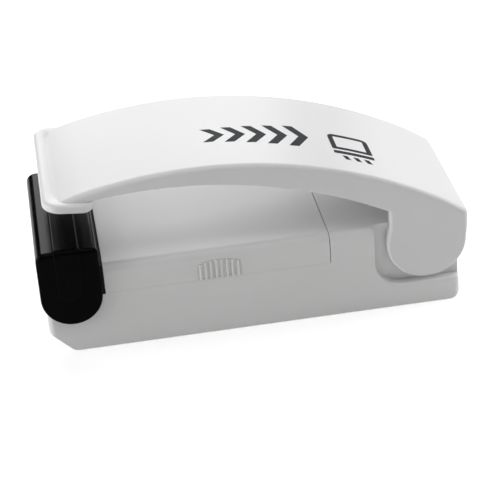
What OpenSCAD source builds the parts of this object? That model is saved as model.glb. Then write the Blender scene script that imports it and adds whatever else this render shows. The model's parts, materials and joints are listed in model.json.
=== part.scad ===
// Hand-held bag sealer. A two-cell base carries a floating heater bar at its nose,
// a guard swings over the heater, and a sprung arched arm presses the bag onto it.
// X runs from the nose to the hinge, Y runs across, and Z runs up from the table.
// The origin is under the middle of the whole outline. Sizes are in millimetres.

/* [Base] */
// Width of the base and of the press arm
base_w = 40; // [38:0.5:56]
// Length of the nose, in front of the battery cover
nose_l = 14.2; // [14:0.1:18]
// Length of the fixed part behind the battery cover
rear_l = 30.5; // [28:0.1:42]
// Height of the joint line along the sides
parting_z = 14.2; // [13.8:0.1:15]
// Thickness of the moulded walls
wall = 1.8; // [1.5:0.1:2.2]
// Thickness of the bottom plate
plate_t = 1.8; // [1.6:0.1:2.4]
// Length of the slope under the nose
nose_slope = 5.3; // [3:0.1:6]
// Radius of the rear lower edge
rear_round = 2.5; // [1:0.1:4]
// Radius along the top edges of the base
top_round = 1.8; // [0.8:0.1:2.2]
// Radius of the upright corners
corner_round = 1.5; // [0.6:0.1:2.4]

/* [Cells] */
// Diameter of one cell
cell_d = 14.5; // [10:0.1:17.4]
// Length of one cell, over its button
cell_l = 50.5; // [42:0.1:60]
// Free height between the cells and the battery cover
cell_headroom = 3.2; // [2.8:0.1:6]

/* [Battery cover] */
// Thickness of the battery cover
cover_t = 1.6; // [1.2:0.1:2]
// Number of grip ribs on each side
rib_count = 8; // [4:1:10]
// Distance from rib to rib
rib_pitch = 1.25; // [1.1:0.05:1.6]
// Width of one grip rib
rib_w = 0.6; // [0.4:0.05:0.8]
// Height that a grip rib stands out
rib_proud = 0.35; // [0.2:0.05:0.5]
// Distance from the cover's front edge to the middle rib
rib_from_front = 26.1; // [12:0.1:40]

/* [Press arm] */
// Height of the arm's crown above the base
crown_rise = 21.4; // [19:0.2:28]
// Distance of the crown from the nose
crown_x = 36; // [30:0.5:46]
// Thickness of the arm's shell
arm_t = 1.8; // [1.4:0.1:2.2]
// Height of the arm's rear top edge above the base
rear_rise = 1.7; // [1.6:0.1:3]
// Depth of the arm's side at its shallowest
skirt_depth = 4.1; // [3.4:0.1:6]
// Length of the foot that meets the bag
foot_l = 11.5; // [9:0.1:12]
// Thickness of the foot
foot_t = 2.1; // [1.8:0.1:3]
// Distance that the foot stands out past each side
foot_proud = 1.55; // [0.4:0.05:1.7]
// Opening between the guard and the foot at rest
jaw_open = 8.9; // [7:0.1:10]

/* [Hinge] */
// Distance of the hinge axis from the rear of the base
hinge_from_rear = 7.7; // [7:0.1:9]
// Depth of the hinge axis below the top of the base
hinge_drop = 5; // [4.4:0.1:6]
// Radius of the round ears of the arm
ear_r = 9.5; // [8.5:0.1:10]
// Thickness of the ears
ear_t = 2.1; // [1.8:0.1:2.6]
// Radius of the steel hinge shaft
shaft_r = 1.5; // [1:0.05:1.8]

/* [Guard] */
// Height of the guard's roof above the base
guard_rise = 5.5; // [5.2:0.1:6.6]
// Thickness of the guard's roof and front lip
guard_t = 0.9; // [0.7:0.1:1.2]
// Thickness of the guard's legs
leg_t = 1.25; // [1.1:0.05:1.6]
// Radius of the round leg ends
leg_r = 7.1; // [6.4:0.1:7.4]
// Height of the raised band that runs over the guard
band_proud = 0.5; // [0.3:0.05:0.6]
// Width of the raised band
band_w = 6.1; // [4:0.1:8]
// Height of the guard's pivot axis above the joint line
pivot_rise = 0.85; // [0.2:0.05:1.4]
// Radius of the guard's pivot bosses
boss_r = 2; // [1.4:0.05:2.4]

/* [Heater] */
// Depth of the heater's working face below the guard's roof
heater_under = 1.3; // [1.1:0.1:1.9]
// Width of the heater bar
bar_w = 4.7; // [4:0.1:4.8]
// Distance that the heater sinks to close its contacts
heater_travel = 0.8; // [0.5:0.05:1]
// Distance of the pad's ends from the arm's sides
pad_inset = 4.2; // [3:0.1:8]
// Width of the soft pad
pad_w = 4.4; // [3.4:0.1:5]

/* [Clearances] */
// Gap between fixed mouldings
fit_gap = 0.15; // [0.08:0.01:0.2]
// Radial gap of a shaft or boss in its bore
run_gap = 0.05; // [0.02:0.01:0.08]
// Gap between moving mouldings
move_gap = 0.3; // [0.2:0.05:0.4]

/* [Hidden] */

$fn = 96;
eps = 0.02;
through = 200;

// Heights of the base, from the cells that it holds
cell_gap = 0.3;
cell_z = plate_t + cell_gap + cell_d / 2;
cell_y = cell_d / 2 + cell_gap / 2;
base_h = plate_t + cell_gap + cell_d + cell_headroom + cover_t;
arm_top = base_h + crown_rise;
arm_rear_z = base_h + rear_rise;
hinge_z = base_h - hinge_drop;
guard_top = base_h + guard_rise;
heater_top = guard_top - heater_under;
pivot_z = parting_z + pivot_rise;

// Stations along the base
bay_end_gap = 0.2;
bay_front = nose_l - bay_end_gap;
floor_x = nose_slope + 0.7;
cross_wall = 1.6;
contact_t = 0.4;
button_l = 1;
button_r = 2.75;
coil_l = 3;
bay_l = 2 * contact_t + cell_l + coil_l;
bay_rear = bay_front + bay_l;
seam_lap = 1.8;
seam_x = bay_rear - seam_lap;
base_l = seam_x + rear_l;

// Hinge, and the pockets in the base that take the ears
hinge_x = base_l - hinge_from_rear;
pocket_side_gap = 2.8;
pocket_floor_gap = 1;
pocket_x = hinge_x - ear_r - pocket_side_gap;
pocket_z = hinge_z - ear_r - pocket_floor_gap;
pocket_round = 6;
pocket_y = base_w / 2 - ear_t - move_gap;
rear_gap = 0.5;
arm_rear_x = hinge_x + ear_r + rear_gap;
shaft_seat = 1.3;

// Arch of the arm: one circle through its crown and its rear top edge
arm_drop = arm_top - arm_rear_z;
arm_r = (pow(arm_rear_x - crown_x, 2) + pow(arm_drop, 2)) / (2 * arm_drop);
neck_x = hinge_x - ear_r + 0.9;
neck_z = base_h + 3.8;
skirt_crown_x = crown_x - 9;
skirt_dip = arm_r - sqrt(pow(arm_r, 2) - pow(skirt_crown_x - crown_x, 2));
skirt_top = arm_top - skirt_dip - skirt_depth + 0.4;
skirt_drop = skirt_top - neck_z;
skirt_r = (pow(neck_x - skirt_crown_x, 2) + pow(skirt_drop, 2)) / (2 * skirt_drop);

// Heater head, on the guard's pivot axis
head_x = 6.15;
nose_r = head_x;
inner_y = base_w / 2 - wall;
shelf_z = parting_z - 3.2;
shelf_t = 1.6;
tape_t = 0.15;
strip_t = 0.2;
strip_w = 2.4;
block_top = heater_top - tape_t - strip_t - 2 * eps;
flange_w = 7.2;
flange_z = heater_top - 8.6;
flange_t = 1.4;
frame_ceiling = flange_z + flange_t + 0.1;
frame_top = base_h - 0.2;
tower_top = block_top - 1.4;
tower_wall = 1.4;
block_y = base_w / 2 - 3;
slot_y = block_y + 0.5;
cavity_y = base_w / 2 - 2.5;
contact_gap = heater_travel + 0.05;
tongue_top = flange_z - contact_t - contact_gap;
tongue_t = 0.3;
tab_top = flange_z + 2.3;
plate_w = 12;
plate_z = plate_t + 1.5;
tongue_w = 4;
tongue_out = cell_y + plate_w / 2;
tongue_in = tongue_out - tongue_w;
window_gap = 0.5;
spring_y = 5;
spring_r = 2.1;
spring_seat = 1;

// Guard
leg_in_y = base_w / 2 + fit_gap;
leg_out_y = leg_in_y + leg_t;
guard_front = head_x - leg_r;
guard_rear = head_x + leg_r;
lip_z = guard_top - 4.4;
roof_edge_round = 1.2;
roof_front_round = 2.2;
band_end_z = pivot_z + 2.3;
boss_h = 0.8;
boss_pad_r = boss_r + 1.2;

// Foot: drawn pressed flat above the guard, then turned back up about the hinge
foot_stop_gap = 0.2;
foot_press_z = guard_top + band_proud + foot_stop_gap;
foot_rest_z = guard_top + band_proud + jaw_open;
foot_reach = norm([hinge_x - head_x, foot_press_z - hinge_z]);
press_angle = asin((foot_rest_z - hinge_z) / foot_reach) - asin((foot_press_z - hinge_z) / foot_reach);
pad_bottom = heater_top - heater_travel;
pad_seat = 1.3;
holder_t = 0.5;
pad_y = base_w / 2 - pad_inset;
shell_low_z = foot_rest_z + 0.9;

// Lips of the base that the cover snaps over
lip_w = 1.3;
lip_h = 2;
lip_root = 3;
lip_y = base_w / 2 - cover_t - fit_gap;
bead_r = 0.35;
bead_z = parting_z + lip_h + 0.25 + bead_r;

// Return spring: turns round the shaft, and the places of its two legs
wind_turns = 5.5;
wind_pitch = 1.2;
wind_r = 2.5;
wind_wire_r = 0.4;
leg_y = wind_turns * wind_pitch / 2;
leg_reach = 11;
cradle_h = 2.4;

// Screws that hold the bottom plate
screw_r = 0.95;
screw_head_r = 1.9;
screw_head_h = 1.1;
screw_room = 0.2;
screw_l = 6.5;
post_r = 2.4;
post_h = 8;
gusset_t = 1.2;
screw_spots = [[nose_l - 4.9, inner_y - 5.2], [base_l - 5.4, inner_y - 6.2]];

// Ends of the whole outline, which put the origin under its middle
mid_x = (guard_front + arm_rear_x) / 2;

// Sizes and axes that follow from the values above, in the part's own frame
echo(base = [base_l, base_w, base_h], press_angle = press_angle);
echo(hinge = [hinge_x - mid_x, hinge_z], pivot = [head_x - mid_x, pivot_z]);

// Places a shape drawn from the nose on the origin
module from_nose() {
    translate([-mid_x, 0, 0]) children();
}

// Extrudes an X-Z outline across the object, from y0 to y1
module across(y0, y1) {
    translate([0, y1, 0]) rotate([90, 0, 0]) linear_extrude(y1 - y0) children();
}

// Extrudes a Y-Z outline along the object, from x0 to x1
module along(x0, x1) {
    translate([x0, 0, 0]) rotate([90, 0, 90]) linear_extrude(x1 - x0) children();
}

module both_sides() {
    children();
    mirror([0, 1, 0]) children();
}

module box(x0, x1, y0, y1, z0, z1) {
    translate([x0, y0, z0]) cube([x1 - x0, y1 - y0, z1 - z0]);
}

// Rod along Y between y0 and y1
module rod(x, z, r, y0, y1) {
    translate([x, y1, z]) rotate([90, 0, 0]) cylinder(h = y1 - y0, r = r);
}

// Rectangle with round corners, from one corner to the other
module round_rect(x0, x1, y0, y1, r) {
    translate([x0 + r, y0]) square([x1 - x0 - 2 * r, y1 - y0]);
    translate([x0, y0 + r]) square([x1 - x0, y1 - y0 - 2 * r]);
    for (x = [x0 + r, x1 - r])
        for (y = [y0 + r, y1 - r])
            translate([x, y]) circle(r);
}

// Round tube along a list of points
function unit(v) = v / norm(v);
function tangents(p) = [for (i = [0:len(p) - 1]) unit(p[min(i + 1, len(p) - 1)] - p[max(i - 1, 0)])];
function square_to(n, t) = unit(n - (n * t) * t);
function normals(t, n0) = [for (i = 0, n = square_to(n0, t[0]); i < len(t);
    i = i + 1, n = i < len(t) ? square_to(n, t[i]) : n) n];

module tube(path, r, start_normal, sides = 6) {
    t = tangents(path);
    n = normals(t, start_normal);
    last = len(path) - 1;
    points = [for (i = [0:last]) for (k = [0:sides - 1])
        path[i] + r * (cos(360 * k / sides) * n[i] + sin(360 * k / sides) * cross(t[i], n[i]))];
    sleeve = [for (i = [0:last - 1]) for (k = [0:sides - 1])
        let (a = i * sides + k, b = i * sides + (k + 1) % sides)
        each [[a, a + sides, b], [b, a + sides, b + sides]]];
    start_cap = [for (k = [1:sides - 2]) [0, k, k + 1]];
    end_cap = [for (k = [1:sides - 2]) [last * sides, last * sides + k + 1, last * sides + k]];
    polyhedron(points, concat(sleeve, start_cap, end_cap));
}

// Coil of wire standing on z = 0, with its outer radius and its overall height
module coil(r_out, wire_r, height, turns, r_top) {
    steps = 8 * turns;
    path = [for (i = [0:steps])
        let (s = i / steps, a = 45 * i, r = r_out - wire_r + s * (r_top - r_out))
        [r * cos(a), r * sin(a), wire_r + s * (height - 2 * wire_r)]];
    tube(path, wire_r, [1, 0, 0]);
}

// Outer form of the base, before anything is cut from it
module base_side() {
    r = rear_round;
    polygon([[0, nose_slope], [nose_slope, 0], [base_l - r, 0], [base_l, r],
             [base_l, base_h - r], [base_l - r, base_h], [0, base_h]]);
    for (z = [r, base_h - r]) translate([base_l - r, z]) circle(r);
}

module base_form() {
    intersection() {
        across(-base_w / 2, base_w / 2) base_side();
        along(0, base_l) union() {
            translate([-base_w / 2, 0]) square([base_w, base_h - top_round]);
            round_rect(-base_w / 2, base_w / 2, base_h - 4 * top_round, base_h, top_round);
        }
        linear_extrude(base_h) round_rect(0, base_l, -base_w / 2, base_w / 2, corner_round);
    }
}

// Side recess that an ear turns in, open to the top and the rear
module ear_pocket() {
    r = pocket_round;
    across(pocket_y, through) {
        translate([pocket_x + r, pocket_z]) square([through, through]);
        translate([pocket_x, pocket_z + r]) square([through, through]);
        translate([pocket_x + r, pocket_z + r]) circle(r);
    }
}

module screw_posts() {
    s = screw_spots;
    both_sides() {
        translate([s[0][0], s[0][1], plate_t]) cylinder(h = shelf_z - shelf_t - plate_t + eps, r = post_r);
        translate([s[1][0], s[1][1], plate_t]) cylinder(h = post_h, r = post_r);
        box(s[1][0], base_l - wall + eps, s[1][1] - gusset_t / 2, s[1][1] + gusset_t / 2,
            plate_t, plate_t + post_h);
    }
}

module screw_pilots() {
    both_sides()
        for (s = screw_spots)
            translate([s[0], s[1], plate_t - eps]) cylinder(h = screw_l, r = screw_r + run_gap);
}

// Moulded base: nose with its spring shelf, battery bay, and hinge block
module base_housing() {
    tongue_floor = tongue_top - tongue_t - fit_gap;
    color("whitesmoke") from_nose() difference() {
        union() {
            difference() {
                base_form();
                // Seat of the heater head
                box(-1, bay_front, -through, through, parting_z, through);
                // Seat of the battery cover
                box(bay_front - eps, seam_x, -through, through, parting_z, through);
                // Well over the spring shelf, and the space under it
                box(wall, bay_front - cross_wall, -inner_y, inner_y, shelf_z, through);
                box(floor_x, bay_front - cross_wall, -inner_y, inner_y, -1, shelf_z - shelf_t);
                // Battery bay, which runs on under the fixed top
                box(bay_front, bay_rear, -inner_y, inner_y, -1, base_h - wall);
                // Hinge chamber
                box(bay_rear + cross_wall, base_l - wall, -(pocket_y - wall), pocket_y - wall,
                    -1, base_h - wall);
                both_sides() ear_pocket();
                // Seat of the bottom plate
                box(floor_x, base_l - wall, -inner_y, inner_y, -1, plate_t);
            }
            // Lips that locate the cover
            both_sides() {
                box(bay_front, seam_x, lip_y - lip_w, lip_y, parting_z - lip_root, parting_z + lip_h);
                box(bay_front, seam_x, lip_y - lip_w, inner_y + eps, parting_z - lip_root, parting_z);
            }
            // Wall behind the heater, which carries the two contact plates
            box(bay_front - cross_wall, bay_front, -inner_y - eps, inner_y + eps,
                plate_t, tongue_floor);
            screw_posts();
        }
        // Room round each cell, where a thick one comes near the lips
        both_sides() translate([bay_front, cell_y, cell_z]) rotate([0, 90, 0])
            cylinder(h = bay_l, r = (cell_d + cell_gap) / 2);
        screw_pilots();
        rod(hinge_x, hinge_z, shaft_r + run_gap, -through, through);
        // Notches for the round pads under the guard's bosses
        both_sides() rod(head_x, pivot_z, boss_pad_r + fit_gap, inner_y - eps, through);
        // Slot that the return spring's upper leg passes
        box(hinge_x - leg_reach - 1, hinge_x - 1, leg_y - 1.7, leg_y + 1.1, base_h - wall - eps, through);
        // Windows that the contact tongues pass
        both_sides() box(0, bay_front + eps, tongue_in - window_gap, tongue_out + window_gap,
                         tongue_floor, through);
    }
}

module bottom_plate() {
    g = fit_gap;
    x0 = floor_x + g;
    x1 = base_l - wall - g;
    y = inner_y - g;
    rib_inset = 12;
    rib_t = 1.2;
    rib_top = plate_t + cradle_h;
    color("whitesmoke") from_nose() difference() {
        union() {
            linear_extrude(plate_t - g / 2) round_rect(x0, x1, -y, y, 1.2);
            // Short ribs in the groove between the cells
            for (x = [bay_front + rib_inset, (bay_front + bay_rear) / 2, bay_rear - rib_inset])
                box(x - rib_t / 2, x + rib_t / 2, -1.6, 1.6, plate_t - g, rib_top);
            // Cradle that the return spring's lower leg rests on
            box(hinge_x - leg_reach - 1.5, hinge_x - leg_reach + 1.5, -leg_y - 1.1, -leg_y + 1.7,
                plate_t - g, rib_top);
        }
        both_sides()
            for (s = screw_spots) translate([s[0], s[1], 0]) {
                translate([0, 0, -1]) cylinder(h = through, r = screw_r + screw_room);
                translate([0, 0, -1]) cylinder(h = 1 + screw_head_h, r = screw_head_r + screw_room);
            }
    }
}

// Four equal self-tapping screws, heads down
module base_screws() {
    sunk = 0.1;
    slot = [2.4, 0.5, 0.6];
    color("silver") from_nose() both_sides()
        for (s = screw_spots) translate([s[0], s[1], sunk]) difference() {
            union() {
                cylinder(h = screw_head_h - sunk, r = screw_head_r);
                cylinder(h = screw_l, r = screw_r);
            }
            for (a = [0, 90]) rotate([0, 0, a]) translate([-slot[0] / 2, -slot[1] / 2, -eps]) cube(slot);
        }
}

// Battery cover: top and two sides in one moulding, with grip ribs
module battery_cover() {
    g = fit_gap;
    x0 = nose_l + g;
    x1 = seam_x - g;
    y_in = base_w / 2 - cover_t;
    mid = (rib_count - 1) / 2;
    rib_low = parting_z + g;
    rib_mid_h = 4.9;
    rib_arch = 0.055;
    rib_root = 0.3;
    bead_inset = 8;
    bead_l = 5;
    color("whitesmoke") from_nose() {
        difference() {
            intersection() {
                base_form();
                box(x0, x1, -through, through, parting_z + g / 2, through);
            }
            box(x0 - 1, x1 + 1, -y_in, y_in, 0, base_h - cover_t);
        }
        // Snap beads that catch on the base's lips
        both_sides()
            for (x = [x0 + bead_inset, x1 - bead_inset])
                translate([x, y_in, bead_z]) rotate([0, 90, 0])
                    cylinder(h = bead_l, r = bead_r, center = true);
        both_sides()
            for (i = [0:rib_count - 1])
                box(x0 + rib_from_front + (i - mid) * rib_pitch - rib_w / 2,
                    x0 + rib_from_front + (i - mid) * rib_pitch + rib_w / 2,
                    base_w / 2 - rib_root, base_w / 2 + rib_proud,
                    rib_low, rib_low + rib_mid_h - rib_arch * pow(i - mid, 2));
    }
}

// Black heat-resistant head that guides the heater and carries the guard
module head_frame() {
    g = fit_gap;
    slot_gap = 0.25;
    slot_w = bar_w + 2 * (tape_t + slot_gap);
    spigot_t = 1.2;
    flange_gap = 0.2;
    boss_root = 1;
    color([0.09, 0.09, 0.1]) from_nose() difference() {
        union() {
            // Flush body with a nose that is round about the guard's axis
            across(-base_w / 2, base_w / 2) intersection() {
                union() {
                    translate([head_x, pivot_z]) circle(nose_r);
                    translate([head_x, parting_z]) square([bay_front - head_x, frame_top - parting_z]);
                    translate([0, parting_z]) square([head_x, pivot_z - parting_z]);
                }
                translate([0, parting_z]) square([through, frame_top - parting_z]);
            }
            // Tower round the heater
            box(head_x - slot_w / 2 - tower_wall, head_x + slot_w / 2 + tower_wall,
                -(slot_y + tower_wall), slot_y + tower_wall, parting_z, tower_top);
            // Spigot that sits in the base
            box(wall + g, bay_front - cross_wall - g, -(inner_y - g), inner_y - g,
                shelf_z + g, parting_z + eps);
            // Bosses that the guard turns on
            both_sides() rod(head_x, pivot_z, boss_pad_r, inner_y - g - boss_root, base_w / 2);
            both_sides() rod(head_x, pivot_z, boss_r, inner_y, base_w / 2 + fit_gap + boss_h);
        }
        // Guide slot and the wider room under it
        box(head_x - slot_w / 2, head_x + slot_w / 2, -slot_y, slot_y, parting_z, through);
        box(head_x - flange_w / 2 - flange_gap, head_x + flange_w / 2 + flange_gap, -cavity_y, cavity_y,
            parting_z - eps, frame_ceiling);
        box(wall + g + spigot_t, bay_front - cross_wall - g - spigot_t,
            -(inner_y - g - spigot_t), inner_y - g - spigot_t, 0, parting_z + 0.5);
        // Windows that the contact tongues pass
        both_sides() box(head_x, through, tongue_in - window_gap, tongue_out + window_gap,
                         parting_z - eps, tongue_top + window_gap);
        // Room for the wall that carries the contact plates
        box(bay_front - cross_wall - g, through, -through, through, 0, parting_z);
        box(bay_front - cross_wall - g, through, -inner_y - g, inner_y + g, 0, tongue_top - tongue_t);
    }
}

// Heater bar with a flange that stops it under the head
module heater_block() {
    color([0.75, 0.72, 0.66]) from_nose() difference() {
        union() {
            box(head_x - bar_w / 2, head_x + bar_w / 2, -block_y, block_y, flange_z, block_top);
            box(head_x - flange_w / 2, head_x + flange_w / 2, -block_y, block_y,
                flange_z, flange_z + flange_t);
        }
        // Seats of the two springs
        both_sides() translate([head_x, spring_y, flange_z - eps])
            cylinder(h = spring_seat, r = spring_r + 0.2);
    }
}

// Flat heating strip over the bar, folded down at both ends
module heater_strip() {
    x = strip_w / 2;
    y = block_y + eps;
    top = block_top + eps + strip_t;
    color([0.72, 0.68, 0.6]) from_nose() {
        box(head_x - x, head_x + x, -y - strip_t, y + strip_t, top - strip_t, top);
        both_sides() box(head_x - x, head_x + x, y, y + strip_t, tab_top + 0.1, top);
    }
}

// Release tape, folded over the strip and down both long sides of the bar
module release_tape() {
    x = bar_w / 2 + eps;
    y = block_y - 1;
    fold_h = 4;
    color([0.62, 0.46, 0.3]) from_nose() {
        box(head_x - x - tape_t, head_x + x + tape_t, -y, y, heater_top - tape_t, heater_top);
        for (x0 = [head_x - x - tape_t, head_x + x])
            box(x0, x0 + tape_t, -y, y, heater_top - fold_h, heater_top);
    }
}

// Brass angle that joins one end of the strip to its contact face
module head_contact() {
    y_end = block_y + eps;
    face_w = 3.6;
    tab_w = 2.4;
    tab_t = 0.3;
    color([0.8, 0.62, 0.28]) from_nose() {
        box(head_x - face_w / 2, head_x + face_w / 2, tongue_in, y_end + tab_t,
            flange_z - contact_t, flange_z - eps);
        box(head_x - tab_w / 2, head_x + tab_w / 2, y_end, y_end + tab_t, flange_z - contact_t, tab_top);
    }
}

module head_contact_near() {
    mirror([0, 1, 0]) head_contact();
}

module head_contact_far() {
    head_contact();
}

module heater_spring() {
    wire_r = 0.25;
    turns = 5;
    height = flange_z + spring_seat - shelf_z - 3 * eps;
    color([0.6, 0.6, 0.62]) from_nose()
        translate([head_x, spring_y, shelf_z + eps]) coil(spring_r, wire_r, height, turns, spring_r);
}

module heater_spring_near() {
    mirror([0, 1, 0]) heater_spring();
}

module heater_spring_far() {
    heater_spring();
}

// Contact plate in front of one cell, with the tongue that is the fixed half of the switch
module switch_plate() {
    rise = 1.5;
    x1 = bay_front + contact_t;
    top = tongue_top;
    color([0.82, 0.72, 0.45]) from_nose() {
        box(bay_front, x1, tongue_out - plate_w, tongue_out, plate_z, top - rise);
        box(bay_front, x1, tongue_in, tongue_out, top - rise - 0.1, top);
        box(head_x - 2, x1, tongue_in, tongue_out, top - tongue_t, top);
    }
}

module switch_plate_near() {
    mirror([0, 1, 0]) switch_plate();
}

module switch_plate_far() {
    switch_plate();
}

// One cell, button end at low X
module cell() {
    can_l = cell_l - button_l;
    translate([0, 0, cell_z]) rotate([0, 90, 0]) union() {
        cylinder(h = button_l + eps, r = button_r);
        translate([0, 0, button_l]) cylinder(h = can_l, r = cell_d / 2);
    }
}

module cell_near() {
    color([0.16, 0.3, 0.2]) from_nose() translate([bay_front + contact_t + eps, -cell_y, 0]) cell();
}

module cell_far() {
    color([0.16, 0.3, 0.2]) from_nose()
        translate([bay_rear - contact_t - eps, cell_y, 0]) mirror([1, 0, 0]) cell();
}

// Conical coils that press on the flat ends of the cells
module cell_coil() {
    wide_r = 4;
    narrow_r = 2.4;
    wire_r = 0.35;
    turns = 2;
    rotate([0, 90, 0]) coil(wide_r, wire_r, coil_l - 2 * eps, turns, narrow_r);
}

module cell_spring_front() {
    color([0.6, 0.6, 0.62]) from_nose() translate([bay_front + contact_t + eps, cell_y, cell_z]) cell_coil();
}

module cell_spring_rear() {
    color([0.6, 0.6, 0.62]) from_nose()
        translate([bay_rear - contact_t - eps, -cell_y, cell_z]) mirror([1, 0, 0]) cell_coil();
}

// Plate that joins the two cells at the rear of the bay
module bridge_plate() {
    above_axis = 5.5;
    color([0.82, 0.72, 0.45]) from_nose()
        box(bay_rear - contact_t, bay_rear, -tongue_out, tongue_out, plate_z, cell_z + above_axis);
}

// Black guard: two legs on the pivot bosses, a roof, and a short front lip
module guard_side() {
    r = roof_front_round;
    q = roof_edge_round;
    translate([head_x, pivot_z]) circle(leg_r);
    translate([guard_front, pivot_z]) square([2 * leg_r, guard_top - r - pivot_z]);
    translate([guard_front + r, guard_top - 2 * r]) square([2 * leg_r - r - q, 2 * r]);
    translate([guard_front + r, guard_top - r]) circle(r);
    translate([guard_rear - q, guard_top - q]) circle(q);
    translate([guard_rear - q - r, guard_top - 2 * r]) square([q + r, 2 * r - q]);
}

// Outline across the guard, out to y and up to z
module guard_end(y, z) {
    translate([-y, 0]) square([2 * y, z - roof_edge_round]);
    round_rect(-y, y, z - 6 * roof_edge_round, z, roof_edge_round);
}

module guard() {
    t = guard_t;
    y = leg_out_y;
    color([0.06, 0.06, 0.07]) from_nose() difference() {
        union() {
            intersection() {
                across(-y, y) guard_side();
                along(guard_front, guard_rear) guard_end(y, guard_top);
            }
            // Raised band over the roof and down both legs
            intersection() {
                across(-y - band_proud, y + band_proud) {
                    translate([head_x, band_end_z]) circle(band_w / 2);
                    translate([head_x - band_w / 2, band_end_z]) square([band_w, through]);
                }
                along(guard_front, guard_rear) guard_end(y + band_proud, guard_top + band_proud);
            }
        }
        box(guard_front + t, through, -leg_in_y, leg_in_y, 0, guard_top - t);
        box(-through, through, -leg_in_y, leg_in_y, 0, lip_z);
        both_sides() rod(head_x, pivot_z, boss_r + run_gap, 0, leg_in_y + boss_h + run_gap);
    }
}

// Turns a pressed shape back up to rest about the hinge
module at_rest() {
    translate([hinge_x, 0, hinge_z]) rotate([0, press_angle, 0])
        translate([-hinge_x, 0, -hinge_z]) children();
}

// Space under the arch circle of a given radius about the crown's centre
module arch_disc(r) {
    translate([crown_x, arm_top - arm_r]) circle(r);
}

// X-Z outline of one side of the arm, with its ear
module arm_side() {
    difference() {
        intersection() {
            arch_disc(arm_r);
            union() {
                translate([foot_shell_x(), shell_low_z]) square([through, through]);
                translate([foot_rest_rear(), arm_rear_z]) square([through, through]);
            }
        }
        intersection() {
            translate([skirt_crown_x, skirt_top - skirt_r]) circle(skirt_r);
            translate([foot_rest_rear(), 0]) square([through, through]);
        }
        translate([arm_rear_x, 0]) square([through, through]);
    }
    intersection() {
        arch_disc(arm_r);
        polygon([[neck_x, hinge_z], [hinge_x + ear_r, hinge_z], [arm_rear_x, arm_rear_z - 1.2],
                 [arm_rear_x, arm_top], [neck_x, arm_top]]);
    }
    translate([hinge_x, hinge_z]) circle(ear_r);
}

// Places of the foot at rest, along X
function foot_turn() = asin((foot_rest_z - hinge_z) / foot_reach);
function foot_mid_x() = hinge_x - foot_reach * cos(foot_turn());
function foot_rest_rear() = foot_mid_x() + foot_l / 2 - 0.2;
function foot_shell_x() = foot_mid_x() - foot_l / 2 + 2.1;

module foot_plate() {
    y = base_w / 2 + foot_proud;
    x0 = head_x - foot_l / 2;
    corner = 2.8;
    rim_r = 1.1;
    rim_proud = 0.35;
    translate([0, 0, foot_press_z]) linear_extrude(foot_t) round_rect(x0, x0 + foot_l, -y, y, corner);
    // Raised round rim along the front edge
    rod(x0 + rim_r + 0.1, foot_press_z + foot_t - rim_r + rim_proud, rim_r, -y + corner, y - corner);
}

// Arched arm: shell, sides with round ears, rear wall, foot and stops
module press_arm() {
    y = base_w / 2;
    inner = y - arm_t;
    ear_y = y - ear_t;
    stop_x = hinge_x + 5.2;
    stop_t = 1.4;
    stop_y = [7, 9];
    wall_low = hinge_z + 3.4;
    color("white") from_nose() difference() {
        union() {
            // Shell
            intersection() {
                across(-y, y) difference() {
                    arch_disc(arm_r);
                    arch_disc(arm_r - arm_t);
                }
                box(foot_shell_x(), arm_rear_x, -y, y, arm_rear_z - 3, through);
            }
            both_sides() across(inner, y) arm_side();
            both_sides() across(ear_y, y) intersection() {
                arm_side();
                translate([neck_x, 0]) square([through, arm_rear_z + 1]);
            }
            both_sides() rod(hinge_x, hinge_z, ear_r, ear_y, y);
            // Solid front over the foot
            across(-y, y) intersection() {
                arch_disc(arm_r);
                translate([foot_shell_x(), shell_low_z])
                    square([foot_rest_rear() - foot_shell_x(), through]);
            }
            at_rest() foot_plate();
            // Rear wall
            across(-y, y) intersection() {
                arch_disc(arm_r);
                polygon([[arm_rear_x - arm_t, wall_low], [arm_rear_x - 0.35, wall_low],
                         [arm_rear_x, arm_rear_z - 1.2], [arm_rear_x, arm_top],
                         [arm_rear_x - arm_t, arm_top]]);
            }
            // Stops that rest on the base's top
            both_sides() intersection() {
                across(stop_y[0], stop_y[1]) arch_disc(arm_r - 0.5);
                box(stop_x - stop_t, stop_x, stop_y[0], stop_y[1], base_h + 0.05, through);
            }
        }
        // Seat of the pad holder in the foot
        at_rest() box(head_x - pad_w / 2 - holder_t - fit_gap, head_x + pad_w / 2 + holder_t + fit_gap,
                      -pad_y - holder_t - fit_gap, pad_y + holder_t + fit_gap,
                      foot_press_z - 1, foot_press_z + pad_seat + holder_t);
        // Blind bores for the hinge shaft
        both_sides() rod(hinge_x, hinge_z, shaft_r + run_gap, 0, ear_y + shaft_seat);
    }
}

// Tray that holds the pad in the foot
module pad_holder() {
    x = pad_w / 2 + holder_t;
    y = pad_y + holder_t;
    z0 = foot_press_z + 0.1;
    z1 = foot_press_z + pad_seat + holder_t - 0.05;
    color([0.85, 0.85, 0.85]) from_nose() at_rest() difference() {
        box(head_x - x, head_x + x, -y, y, z0, z1);
        box(head_x - x + holder_t, head_x + x - holder_t, -y + holder_t, y - holder_t,
            z0 - 1, z1 - holder_t);
    }
}

// Soft pad, square in its tray and rounded where it meets the bag
module silicone_pad() {
    r = 0.8;
    x = pad_w / 2 - 0.05;
    y = pad_y - 0.05;
    z1 = foot_press_z + pad_seat - 0.07;
    color([0.2, 0.2, 0.21]) from_nose() at_rest() across(-y, y) {
        translate([head_x - x, pad_bottom + r]) square([2 * x, z1 - pad_bottom - r]);
        translate([head_x - x + r, pad_bottom]) square([2 * x - 2 * r, 2 * r]);
        for (s = [-1, 1]) translate([head_x + s * (x - r), pad_bottom + r]) circle(r);
    }
}

module hinge_shaft() {
    y = base_w / 2 - ear_t + shaft_seat - 0.1;
    color("silver") from_nose() rod(hinge_x, hinge_z, shaft_r, -y, y);
}

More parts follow.
